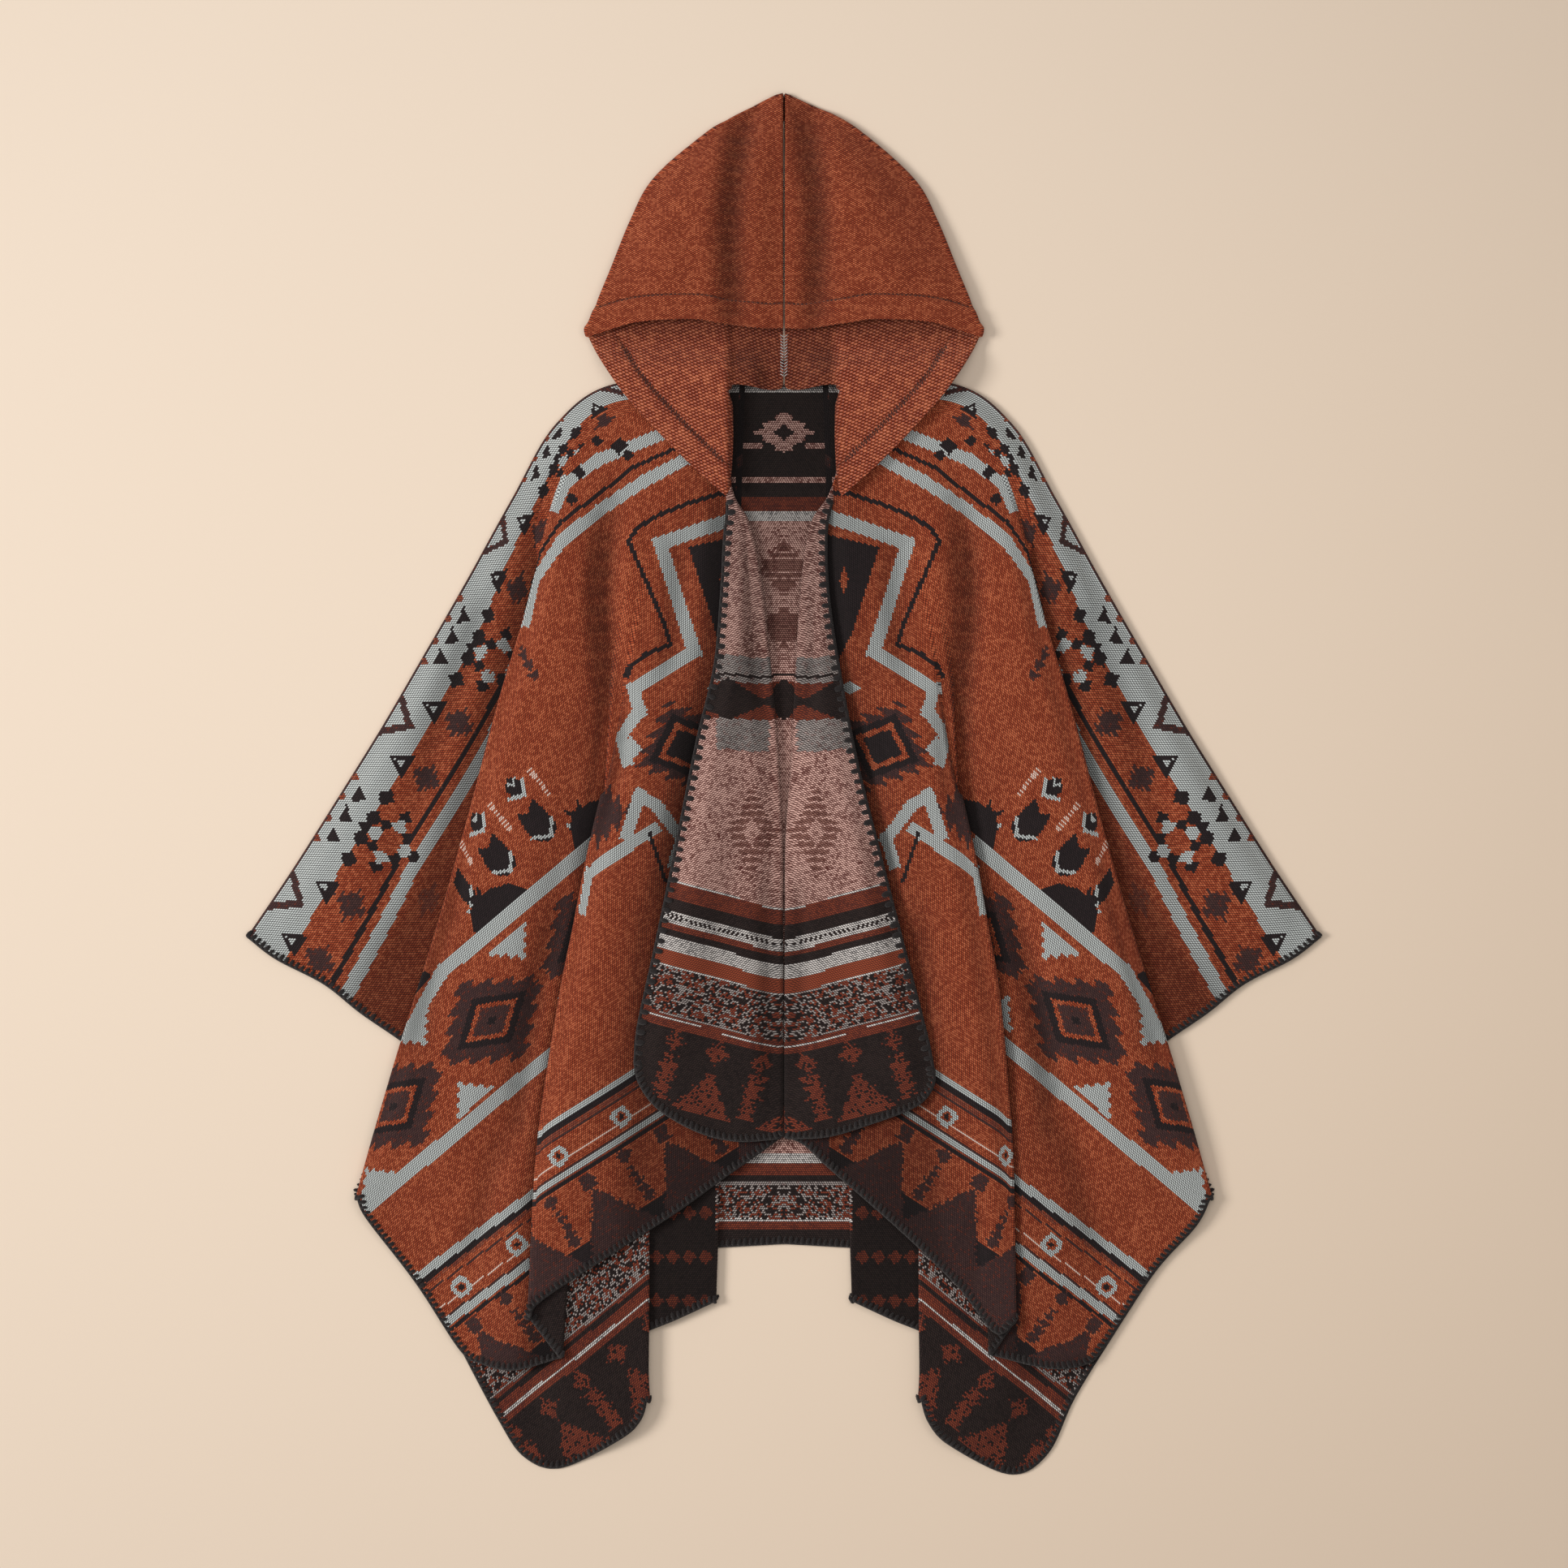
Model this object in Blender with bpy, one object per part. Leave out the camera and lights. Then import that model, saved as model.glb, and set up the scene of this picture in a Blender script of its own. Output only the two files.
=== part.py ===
"""Hooded poncho laid out flat with its front up: a back panel, two fronts with deep pleats and turned
lapels, and a hood of two halves. Each piece is one cloth wall of even thickness.

The floor is z = 0, the hood points to +Y and the hem to -Y. Tables give plan places in millimetres, where
"out" is the distance from the centre line towards the garment's side.
"""

import bmesh
import bpy
import numpy as np
from mathutils import Matrix

MM = 0.001

# Cloth sizes
CLOTH = 2.4
GAP = 0.8
SEAM = 0.9
MERGE = 0.05
SHARP_ANGLE = 0.8

# Fineness of the cloth grids
FRONT_ROWS = 22
BACK_ROWS = 16
HOOD_ROWS = 23
HOOD_LOWER_COLUMNS = 9
HOOD_UPPER_COLUMNS = 7
WING_COLUMNS = 7
BODY_COLUMNS = 9
INNER_COLUMNS = 9
LAPEL_COLUMNS = 6
TAIL_COLUMNS = 12
MIDDLE_COLUMNS = 5
UNDER_COLUMNS = 3
TURN_COLUMNS = 2
LINE_POINTS = 400

# Soft pleat edges: how much they stand up, and how far that height reaches into the cloth
PLEAT_PUFF = 4.0
PLEAT_REACH = 45.0
LAPEL_PUFF = 2.5
PLEAT_ROUNDING = 5.0
LAPEL_ROUNDING = 4.5

# Where a pleat has died out, its columns spread over the strip between its two lines
FLAT_SHARE = 0.25
INWARD, OUTWARD = -1, 1
HEM_FADE = 3.0
NECK_FADE = 4.0

# Places along each line run from the neck (first row) to the hem (last row): out, y
SHOULDER_EDGE = (
    (54, 416), (174, 419), (238, 377), (284, 299), (330, 216),
    (377, 134), (423, 55), (469, -19), (516, -93), (561, -159),
)

# Outer pleat, where the body of the front lies over the wing: edge out, edge y, hidden out, hidden y, folded
WING_PLEAT = (
    (56, 398, 57, 406, 0),
    (148, 390, 156, 396, 0),
    (214, 344, 224, 349, 0),
    (249, 275, 259, 279, 0.6),
    (272, 180, 252, 192, 1),
    (300, 85, 272, 98, 1),
    (330, -28, 294, -8, 1),
    (365, -150, 320, -115, 1),
    (410, -293, 346, -218, 1),
    (450, -430, 372, -288, 1),
)

# Inner pleat of each front: edge out, edge y, hidden out, hidden y, folded
BODY_PLEAT = {
    "left": (
        (58, 372, 60, 380, 0),
        (95, 345, 103, 352, 0),
        (125, 290, 135, 296, 0),
        (148, 205, 160, 208, 0.1),
        (166, 115, 178, 117, 0.4),
        (182, 30, 184, 30, 0.9),
        (206, -74, 190, -74, 1),
        (232, -215, 200, -217, 1),
        (257, -370, 218, -378, 1),
        (269, -556, 233, -597, 1),
    ),
    "right": (
        (58, 372, 60, 380, 0),
        (95, 345, 103, 352, 0),
        (123, 290, 133, 296, 0),
        (145, 205, 157, 208, 0.1),
        (162, 115, 174, 117, 0.4),
        (177, 30, 179, 30, 0.9),
        (200, -74, 184, -74, 1),
        (223, -215, 194, -217, 1),
        (238, -370, 204, -378, 1),
        (244, -560, 216, -594, 1),
    ),
}

# Turned lapel: fold out, fold y, free edge out, free edge y, folded
LAPEL = {
    "left": (
        (59, 326, 61, 306, 0),
        (50, 300, 59, 287, 0.7),
        (35, 272, 62, 257, 1),
        (23, 215, 65, 200, 1),
        (14, 130, 72, 123, 1),
        (6, 45, 91, 41, 1),
        (1, -60, 113, -70, 1),
        (1, -160, 134, -172, 1),
        (1, -265, 151, -250, 1),
        (1, -369, 155, -290, 1),
    ),
    "right": (
        (57, 326, 56, 306, 0),
        (44, 300, 48, 287, 0.7),
        (27, 272, 44, 257, 1),
        (18, 215, 46, 200, 1),
        (12, 130, 56, 128, 1),
        (7, 30, 75, 27, 1),
        (1, -60, 97, -62, 1),
        (1, -160, 122, -160, 1),
        (1, -265, 147, -257, 1),
        (1, -369, 155, -295, 1),
    ),
}

# Hem of each stretch of a front, from its outer end to its inner one: out, y
WING_HEM = ((561, -159), (531, -182), (481, -208), (443, -238), (405, -264), (372, -288))
BODY_HEM = {
    "left": (
        (450, -430), (440, -453), (386, -523), (340, -591), (319, -604), (283, -610), (233, -597),
    ),
    "right": (
        (450, -430), (434, -461), (390, -510), (335, -590), (314, -606), (276, -608), (216, -594),
    ),
}
INNER_HEM = {
    "left": ((269, -556), (262, -540), (204, -502), (119, -450), (53, -405), (13, -378), (1, -369)),
    "right": ((244, -560), (224, -570), (185, -523), (119, -462), (47, -402), (18, -376), (1, -369)),
}
LAPEL_HEM = {
    "left": ((1, -369), (45, -371), (85, -362), (128, -338), (149, -312), (155, -290)),
    "right": ((1, -369), (44, -366), (90, -352), (136, -334), (154, -314), (155, -295)),
}

# The back's seam edge keeps this far inside the fronts' outline, moved in and down by these shares
BACK_INSET = 3.0
INSET_IN, INSET_DOWN = 0.75, 0.66
BACK_NECK_Y = 418

# The back's hidden side, from the wing tip to where its tail comes out under the front: out, y
BACK_SIDE = (
    (557, -161), (531, -176), (481, -202), (443, -231), (404, -258),
    (386, -300), (382, -380), (372, -480), (350, -566),
)

# Back tail, which lies over a middle fold of the back: edge out, edge y, hidden out, hidden y, folded
TAIL_PLEAT = (
    (100, 418, 92, 418, 0),
    (112, 260, 104, 260, 0),
    (124, 80, 114, 80, 0),
    (134, -100, 124, -100, 0),
    (140, -270, 134, -270, 0.4),
    (143, -420, 160, -420, 1),
    (143, -540, 176, -520, 1),
    (144, -642, 190, -594, 1),
)

# Middle fold of the back, which lies over its centre: edge out, edge y, hidden out, hidden y, folded
CENTRE_PLEAT = (
    (48, 418, 42, 418, 0),
    (54, 260, 47, 260, 0),
    (59, 80, 51, 80, 0),
    (63, -100, 55, -100, 0),
    (67, -260, 61, -260, 0.4),
    (70, -380, 84, -380, 1),
    (71, -470, 96, -445, 1),
    (73, -540, 106, -486, 1),
)

TAIL_HEM = {
    "left": (
        (350, -566), (298, -664), (270, -704), (232, -714), (170, -682), (150, -662), (144, -642),
    ),
    "right": (
        (350, -566), (304, -640), (275, -700), (236, -721), (174, -690), (152, -666), (144, -642),
    ),
}
MIDDLE_HEM = ((190, -594), (143, -571), (114, -559), (73, -540))
CENTRE_HEM_Y = -480

# Hood outline from the neck tip round the corner of the face opening to the crown: out, y
HOOD_OUTER = (
    (61, 300), (98, 333), (141, 377), (174, 416), (204, 467), (199, 486), (178, 536),
    (156, 589), (133, 630), (83, 675), (51, 697), (0, 721),
)
HOOD_CORNER = 4

# Where the hood's lower layer ends: down the front neck, across the back neck and up the centre seam: out, y
HOOD_INNER = (
    (59, 302), (55, 330), (53, 360), (54, 392), (54, 416), (0, 416), (0, 480),
    (0, 540), (0, 590), (0, 640), (0, 685), (0, 721),
)

# Front edge of the hood's upper layer, from the corner to the centre seam: out, y
HOOD_FACE = ((204, 467), (154, 481), (95, 484), (66, 480), (22, 475), (0, 476))

# Soft form of the hood's upper layer: it rises from its rim to a ridge on each half, sinks in a trough at the
# centre seam and drops a little to the face edge
HOOD_FOLD = 7.0
HOOD_RISE = 20.0
HOOD_SHOULDER = 34.0
SHOULDER_POWER = 1.3
HOOD_RIDGE_OUT = 62.0
HOOD_RIDGE_WIDTH = 70.0
HOOD_RIDGE_SHARE = 0.4
HOOD_TROUGH = 8.0
HOOD_TROUGH_OUT = 26.0
FACE_DROP = 0.4
FACE_DROP_REACH = 45.0
CORNER_ROWS = 2.5

# Flaps inside the hood: how far they lie over the hood's back, where their edge is, and where they end
FLAP_LIFT = 6.0
FLAP_EDGE_OUT = 57.0
FLAP_STEP = 8.0
FLAP_END_Y = 640.0
FLAP_FADE = 120.0
HOOD_REACH = 20.0
HOOD_SOFTEN = 8.0

RUST = (0.33, 0.065, 0.026, 1.0)
WRONG_SIDE = (0.30, 0.14, 0.11, 1.0)


def along(table, fractions):
    """Points of the smooth line through a table's rows, at fractions of the way down the table."""
    rows = np.asarray(table, float)
    place = np.clip(fractions, 0, 1) * (len(rows) - 1)
    first = np.minimum(place.astype(int), len(rows) - 2)
    t = (place - first)[:, None]
    ends = np.vstack([2 * rows[0] - rows[1], rows, 2 * rows[-1] - rows[-2]])
    before, start, end, after = (ends[first + k] for k in range(4))
    bend = 2 * before - 5 * start + 4 * end - after
    twist = 3 * start - before - 3 * end + after
    return start + 0.5 * ((end - before) * t + bend * t**2 + twist * t**3)


def evenly(table, count):
    """Points spaced evenly by length along the smooth line through a table's rows."""
    fine = along(table, np.linspace(0, 1, LINE_POINTS))
    steps = np.linalg.norm(np.diff(fine, axis=0), axis=1)
    length = np.concatenate([[0], np.cumsum(steps)])
    wanted = np.linspace(0, length[-1], count)
    return np.stack([np.interp(wanted, length, fine[:, k]) for k in range(2)], axis=1)


def patch(first, last, top, hem, fractions):
    """Plan points of a stretch of cloth between two side lines, with its own top and hem lines."""
    across = np.linspace(0, 1, len(hem))[None, :, None]
    down = fractions[:, None, None]

    def bow(line):
        return line - ((1 - across[0]) * line[:1] + across[0] * line[-1:])

    sides = (1 - across) * first[:, None] + across * last[:, None]
    return sides + (1 - down) ** NECK_FADE * bow(top) + down**HEM_FADE * bow(hem)


class Pile:
    """The height of the cloth laid down so far, on a square grid over the floor."""

    CELL = 4.0
    HALF = (620.0, 780.0)
    FILL = 14

    def __init__(self):
        size = [int(2 * half / self.CELL) for half in self.HALF]
        self.height = np.zeros(size)

    def cells(self, plan):
        """The grid place of each plan point, as whole numbers."""
        place = (plan + np.array(self.HALF)) / self.CELL
        return np.clip(place.astype(int), 0, np.array(self.height.shape) - 1)

    def spread(self, reach, soften):
        """The height with every high spot widened by reach and then softened."""
        def shifted(grid, axis, radius):
            return [np.roll(grid, k, axis) for k in range(-radius, radius + 1)]

        wide = self.height
        blur = int(soften / self.CELL)
        for axis in (0, 1):
            wide = np.maximum.reduce(shifted(wide, axis, int(reach / self.CELL) + blur))
        for axis in (0, 1):
            wide = np.mean(shifted(wide, axis, blur), axis=0)
        return wide

    def rest(self, plan, reach=36.0, soften=20.0):
        """The height at which the middle of a cloth lies when it is laid at these plan points."""
        column, row = np.moveaxis(self.cells(plan), -1, 0)
        return self.spread(reach, soften)[column, row] + CLOTH / 2

    def add(self, points):
        """Lays down a grid of middle points, so that later cloth clears it."""
        rows, columns = points.shape[:2]
        down = np.linspace(0, rows - 1, (rows - 1) * self.FILL + 1)
        across = np.linspace(0, columns - 1, (columns - 1) * self.FILL + 1)
        row = np.minimum(down.astype(int), rows - 2)
        column = np.minimum(across.astype(int), columns - 2)
        s = (down - row)[:, None, None]
        t = (across - column)[None, :, None]
        near, far = points[row], points[row + 1]
        upper = near[:, column] * (1 - t) + near[:, column + 1] * t
        lower = far[:, column] * (1 - t) + far[:, column + 1] * t
        dense = (upper * (1 - s) + lower * s).reshape(-1, 3)
        place = self.cells(dense[:, :2])
        np.maximum.at(self.height, (place[:, 0], place[:, 1]), dense[:, 2] + CLOTH / 2 + GAP)


def unit(vectors):
    """Vectors made one long."""
    return vectors / np.maximum(np.linalg.norm(vectors, axis=-1, keepdims=True), 1e-6)


def raised(plan, height):
    """Plan points with a height each, as points in space."""
    return np.concatenate([plan, height[..., None]], axis=-1)


def turn(first, second, folded, count=TURN_COLUMNS):
    """Columns that carry the cloth round a fold, from one layer's last column to the next one's first."""
    end, start = first[:, -1], second[:, 0]
    way = unit((end - first[:, -2])[:, :2])
    radius = np.abs(end - start)[:, 2:] / 2 * folded[:, None] ** 2
    columns = []
    for angle in np.linspace(0, np.pi, count + 2)[1:-1]:
        bulge = np.hstack([way * radius * np.sin(angle), np.zeros_like(radius)])
        columns.append((end + start) / 2 + (end - start) / 2 * np.cos(angle) + bulge)
    return np.stack(columns, axis=1)


def joined(layers, pleats):
    """One grid of points through several layers, with the turns between them, each with its own pleat."""
    columns = [layers[0]]
    for before, after, pleat in zip(layers, layers[1:], pleats):
        columns += [turn(before, after, pleat.folded), after]
    return np.concatenate(columns, axis=1)


class Pleat:
    """A fold line with the hidden line under it, and the column ends of the layers that meet there.

    A pleat is folded by a share from 0 to 1. Its hidden line lies past its edge only where it is folded in full.
    """

    def __init__(self, table, side, fractions, way=0, rounding=0.0):
        line = along(table, fractions)
        self.folded = np.clip(line[:, 4], 0, 1)
        line[:, 0] += way * rounding * self.folded
        self.edge = line[:, :2] * (side, 1)
        self.hidden = line[:, 2:4] * (side, 1)
        between = self.edge - self.hidden
        self.spacing = (1 - self.folded)[:, None] * between * FLAT_SHARE

    def ends(self, line, way=1):
        """Where one layer stops and the next starts at a fold line, apart only where the pleat is flat."""
        return line - self.spacing * way, line + self.spacing * way


def lie(pile, plan, folded=None, base=None):
    """A layer resting on the pile. Where its pleat has died out it keeps the base pile's height."""
    height = pile.rest(plan)
    if folded is not None:
        flat = base.rest(plan)
        height = flat + folded[:, None] * (height - flat)
    return raised(plan, height)


def puffed(layer, folded, amount):
    """A layer with its folded edge raised, fading over the reach into the cloth."""
    distance = np.linalg.norm((layer - layer[:, :1])[..., :2], axis=-1)
    lift = amount * folded[:, None] * np.exp(-((distance / PLEAT_REACH) ** 2))
    return layer + np.stack([np.zeros_like(lift), np.zeros_like(lift), lift], axis=-1)


def copy_of(pile):
    """A pile with the same height, which later layers don't change."""
    twin = Pile()
    twin.height = pile.height.copy()
    return twin


def front_grid(pile, name):
    """One front as a grid from its shoulder edge to its free edge, its six layers laid on the pile in turn."""
    side = -1 if name == "left" else 1
    down = np.linspace(0, 1, FRONT_ROWS)
    shoulder = along(SHOULDER_EDGE, down) * (side, 1)
    wing_pleat = Pleat(WING_PLEAT, side, down, INWARD, PLEAT_ROUNDING)
    body_pleat = Pleat(BODY_PLEAT[name], side, down, INWARD, PLEAT_ROUNDING)
    lapel = Pleat(LAPEL[name], side, down, OUTWARD, LAPEL_ROUNDING)

    def hem(table, columns):
        return evenly(np.asarray(table) * (side, 1), columns + 1)

    def stretch(first, last, hem_points):
        top = np.linspace(first[0], last[0], len(hem_points))
        return patch(first, last, top, hem_points, down)

    def straight_hem(first, last):
        return np.linspace(first[-1], last[-1], UNDER_COLUMNS)

    wing_end, wing_back = wing_pleat.ends(wing_pleat.hidden)
    body_turn, body_start = wing_pleat.ends(wing_pleat.edge)
    body_end, body_back = body_pleat.ends(body_pleat.hidden)
    inner_turn, inner_start = body_pleat.ends(body_pleat.edge)
    inner_end, lapel_start = lapel.ends(lapel.edge, -1)

    base = copy_of(pile)
    wing = lie(pile, stretch(shoulder, wing_end, hem(WING_HEM, WING_COLUMNS)))
    pile.add(wing)
    plan = stretch(wing_back, body_turn, straight_hem(wing_back, body_turn))
    wing_under = lie(pile, plan, wing_pleat.folded, base)
    pile.add(wing_under)
    plan = stretch(body_start, body_end, hem(BODY_HEM[name], BODY_COLUMNS))
    body = lie(pile, plan, wing_pleat.folded, base)
    body = puffed(body, wing_pleat.folded, PLEAT_PUFF)
    pile.add(body)
    plan = stretch(body_back, inner_turn, straight_hem(body_back, inner_turn))
    body_under = lie(pile, plan, body_pleat.folded, base)
    pile.add(body_under)
    plan = stretch(inner_start, inner_end, hem(INNER_HEM[name], INNER_COLUMNS))
    inner = lie(pile, plan, body_pleat.folded, base)
    inner = puffed(inner, body_pleat.folded, PLEAT_PUFF)
    pile.add(inner)
    plan = stretch(lapel_start, lapel.hidden, hem(LAPEL_HEM[name], LAPEL_COLUMNS))
    turned = lie(pile, plan, lapel.folded, base)
    turned = puffed(turned, lapel.folded, LAPEL_PUFF)
    pile.add(turned)
    layers = [wing, wing_under, body, body_under, inner, turned]
    return joined(layers, [wing_pleat, wing_pleat, body_pleat, body_pleat, lapel])


def half_back(pile, name):
    """Half the back as a grid from the centre out, its layers laid on the pile from the floor up."""
    side = -1 if name == "left" else 1
    down = np.linspace(0, 1, BACK_ROWS)
    tail_pleat = Pleat(TAIL_PLEAT, side, down)
    centre_pleat = Pleat(CENTRE_PLEAT, side, down)
    neck_y, hem_y = BACK_NECK_Y, CENTRE_HEM_Y
    centre_line = np.stack([np.zeros(BACK_ROWS), neck_y + (hem_y - neck_y) * down], axis=1)
    outer_side = evenly(np.asarray(BACK_SIDE) * (side, 1), BACK_ROWS)

    centre_end, middle_back = centre_pleat.ends(centre_pleat.hidden)
    middle_turn, middle_start = centre_pleat.ends(centre_pleat.edge)
    middle_end, tail_back = tail_pleat.ends(tail_pleat.hidden)
    tail_turn, tail_start = tail_pleat.ends(tail_pleat.edge)

    shoulder = evenly(np.asarray(SHOULDER_EDGE) * (side, 1), LINE_POINTS)
    inset = unit(np.array([-side * INSET_IN, -INSET_DOWN])) * BACK_INSET
    reached = np.abs(shoulder[:, 0]) >= abs(tail_start[0, 0])
    seam = np.vstack([tail_start[:1], shoulder[reached] + inset, outer_side[:1]])
    tail_top = evenly(seam, TAIL_COLUMNS)
    tail_hem = evenly(np.asarray(TAIL_HEM[name])[::-1] * (side, 1), TAIL_COLUMNS)

    def stretch(first, last, hem_points, top=None):
        if top is None:
            top = np.linspace(first[0], last[0], len(hem_points))
        return patch(first, last, top, hem_points, down)

    def straight_hem(first, last, count=UNDER_COLUMNS):
        return np.linspace(first[-1], last[-1], count)

    base = copy_of(pile)
    centre_hem = straight_hem(centre_line, centre_end, MIDDLE_COLUMNS)
    centre = lie(pile, stretch(centre_line, centre_end, centre_hem))
    pile.add(centre)
    plan = stretch(middle_back, middle_turn, straight_hem(middle_back, middle_turn))
    centre_under = lie(pile, plan, centre_pleat.folded, base)
    pile.add(centre_under)
    middle_hem = evenly(np.asarray(MIDDLE_HEM)[::-1] * (side, 1), MIDDLE_COLUMNS)
    middle = lie(pile, stretch(middle_start, middle_end, middle_hem), centre_pleat.folded, base)
    pile.add(middle)
    plan = stretch(tail_back, tail_turn, straight_hem(tail_back, tail_turn))
    tail_under = lie(pile, plan, tail_pleat.folded, base)
    pile.add(tail_under)
    tail = lie(pile, stretch(tail_start, outer_side, tail_hem, tail_top), tail_pleat.folded, base)
    pile.add(tail)
    layers = [centre, centre_under, middle, tail_under, tail]
    return joined(layers, [centre_pleat, centre_pleat, tail_pleat, tail_pleat])


def back_grid(pile):
    """The whole back as one grid, from the left wing end to the right one."""
    bare = copy_of(pile)
    halves = []
    for name in ("left", "right"):
        half_pile = copy_of(bare)
        halves.append(half_back(half_pile, name))
        pile.height = np.maximum(pile.height, half_pile.height)
    left, right = halves
    return np.concatenate([left[:, ::-1], right[:, 1:]], axis=1)


def hood_lift(plan, rim, face):
    """Height of the hood's upper layer over its lower one, at plan points between its rim and face edge."""
    from_rim = np.linalg.norm(plan - rim[:, None], axis=-1)
    from_face = np.linalg.norm(plan - face[:, None], axis=-1)
    out = np.abs(plan[..., 0])
    rise = 1 - np.exp(-((from_rim / HOOD_SHOULDER) ** SHOULDER_POWER))
    ridge = 1 - HOOD_RIDGE_SHARE * (1 - np.exp(-(((out - HOOD_RIDGE_OUT) / HOOD_RIDGE_WIDTH) ** 2)))
    face_drop = 1 - FACE_DROP * np.exp(-((from_face / FACE_DROP_REACH) ** 2))
    trough = HOOD_TROUGH * np.exp(-((out / HOOD_TROUGH_OUT) ** 2))
    from_corner = np.arange(len(rim))[:, None]
    opened = 1 - np.exp(-from_corner / CORNER_ROWS)
    lift = (HOOD_FOLD + (HOOD_RISE * ridge * face_drop - trough) * rise) * opened
    return np.where(from_corner > 0, np.maximum(lift, CLOTH + 3 * GAP), 0.0)


def hood_half(pile, name, colour):
    """One half of the hood: its lower layer and flap, the turn at the outline, and the upper layer."""
    side = -1 if name == "left" else 1
    down = np.linspace(0, 1, HOOD_ROWS)
    outer, inner = along(HOOD_OUTER, down), along(HOOD_INNER, down)
    across = np.linspace(0, 1, HOOD_LOWER_COLUMNS)[None, :, None]
    lower = (1 - across) * inner[:, None] + across * outer[:, None]
    lower[..., 0] = np.maximum(lower[..., 0], SEAM)
    past_edge = np.clip((lower[..., 0] - FLAP_EDGE_OUT) / FLAP_STEP + 0.5, 0, 1)
    below_crown = np.clip((FLAP_END_Y - lower[..., 1]) / FLAP_FADE, 0, 1)
    lower = lower * (side, 1)
    height = pile.rest(lower, HOOD_REACH, HOOD_SOFTEN) + FLAP_LIFT * past_edge * below_crown
    lower = raised(lower, height)

    corner = (HOOD_ROWS - 1) * HOOD_CORNER // (len(HOOD_OUTER) - 1)
    rim = lower[corner:, -1, :2]
    face = evenly(np.asarray(HOOD_FACE) * (side, 1), len(rim))
    face[-1, 0] = side * SEAM
    across = np.linspace(0, 1, HOOD_UPPER_COLUMNS)[None, :, None]
    plan = (1 - across) * rim[:, None] + across * face[:, None]
    upper = raised(plan, lower[corner:, -1:, 2] + hood_lift(plan, rim, face))
    upper = np.concatenate([turn(lower[corner:], upper, np.ones(len(rim))), upper], axis=1)

    faces = grid_faces(HOOD_ROWS, HOOD_LOWER_COLUMNS)
    start = HOOD_ROWS * HOOD_LOWER_COLUMNS
    faces += grid_faces(len(rim), upper.shape[1], start)
    for row in range(len(rim) - 1):
        last = (corner + row + 1) * HOOD_LOWER_COLUMNS - 1
        first = start + row * upper.shape[1]
        faces.append((last, first, first + upper.shape[1], last + HOOD_LOWER_COLUMNS))
    points = np.concatenate([lower.reshape(-1, 3), upper.reshape(-1, 3)])
    return cloth(f"hood_{name}", points, faces, colour)


def grid_faces(rows, columns, start=0):
    """Quads of a grid whose points are numbered row by row."""
    faces = []
    for row in range(rows - 1):
        for column in range(columns - 1):
            corner = start + row * columns + column
            faces.append((corner, corner + 1, corner + columns + 1, corner + columns))
    return faces


def material(name, colour):
    """A dull cloth material."""
    made = bpy.data.materials.new(name)
    made.use_nodes = True
    shader = made.node_tree.nodes["Principled BSDF"]
    shader.inputs["Base Color"].default_value = colour
    shader.inputs["Roughness"].default_value = 0.95
    shader.inputs["Metallic"].default_value = 0.0
    return made


def cloth(name, points, faces, colour):
    """One cloth wall of even thickness about its middle points."""
    mesh = bpy.data.meshes.new(name)
    mesh.from_pydata([tuple(p) for p in points * MM], [], faces)
    mesh.materials.append(colour)
    merged = bmesh.new()
    merged.from_mesh(mesh)
    bmesh.ops.remove_doubles(merged, verts=merged.verts, dist=MERGE * MM)
    merged.to_mesh(mesh)
    merged.free()
    mesh.shade_smooth()
    wall = bpy.data.objects.new(name, mesh)
    bpy.context.scene.collection.objects.link(wall)
    solidify = wall.modifiers.new("Thickness", "SOLIDIFY")
    solidify.thickness = CLOTH * MM
    solidify.offset = 0.0
    solid = bpy.data.meshes.new_from_object(wall.evaluated_get(bpy.context.evaluated_depsgraph_get()))
    wall.modifiers.clear()
    wall.data = solid
    solid.set_sharp_from_angle(angle=SHARP_ANGLE)
    return wall


def grid_cloth(name, grid, colour):
    """A cloth wall from one grid of points."""
    rows, columns = grid.shape[:2]
    return cloth(name, grid.reshape(-1, 3), grid_faces(rows, columns), colour)


def centre_on_floor():
    """Moves the whole garment so that its outline is centred on the origin and its underside is at z = 0."""
    walls = [item for item in bpy.data.objects if item.type == "MESH"]
    corners = np.array([corner[:] for wall in walls for corner in wall.bound_box])
    low, high = corners.min(axis=0), corners.max(axis=0)
    shift = Matrix.Translation((-(low[0] + high[0]) / 2, -(low[1] + high[1]) / 2, -low[2]))
    for wall in walls:
        wall.data.transform(shift)


def main():
    """Clears the scene and makes the five pieces from the floor up."""
    for item in list(bpy.data.objects):
        bpy.data.objects.remove(item, do_unlink=True)
    rust = material("rust_cloth", RUST)
    wrong = material("back_cloth", WRONG_SIDE)
    pile = Pile()
    grid_cloth("back_panel", back_grid(pile), wrong)
    after_back = copy_of(pile)
    for name in ("left", "right"):
        own = copy_of(after_back)
        grid_cloth(f"front_{name}", front_grid(own, name), rust)
        pile.height = np.maximum(pile.height, own.height)
    for name in ("left", "right"):
        hood_half(pile, name, rust)
    centre_on_floor()


main()
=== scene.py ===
"""Dresses the hooded poncho: woven cloth laid out in its pleats, a plain twill hood, yarn edging and a soft studio.

Plan places are in millimetres. "out" is the distance from the centre line, and y runs from the hem up to the hood.
"""

import logging
import math
from collections.abc import Callable
from dataclasses import dataclass, field
from enum import Enum

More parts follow.
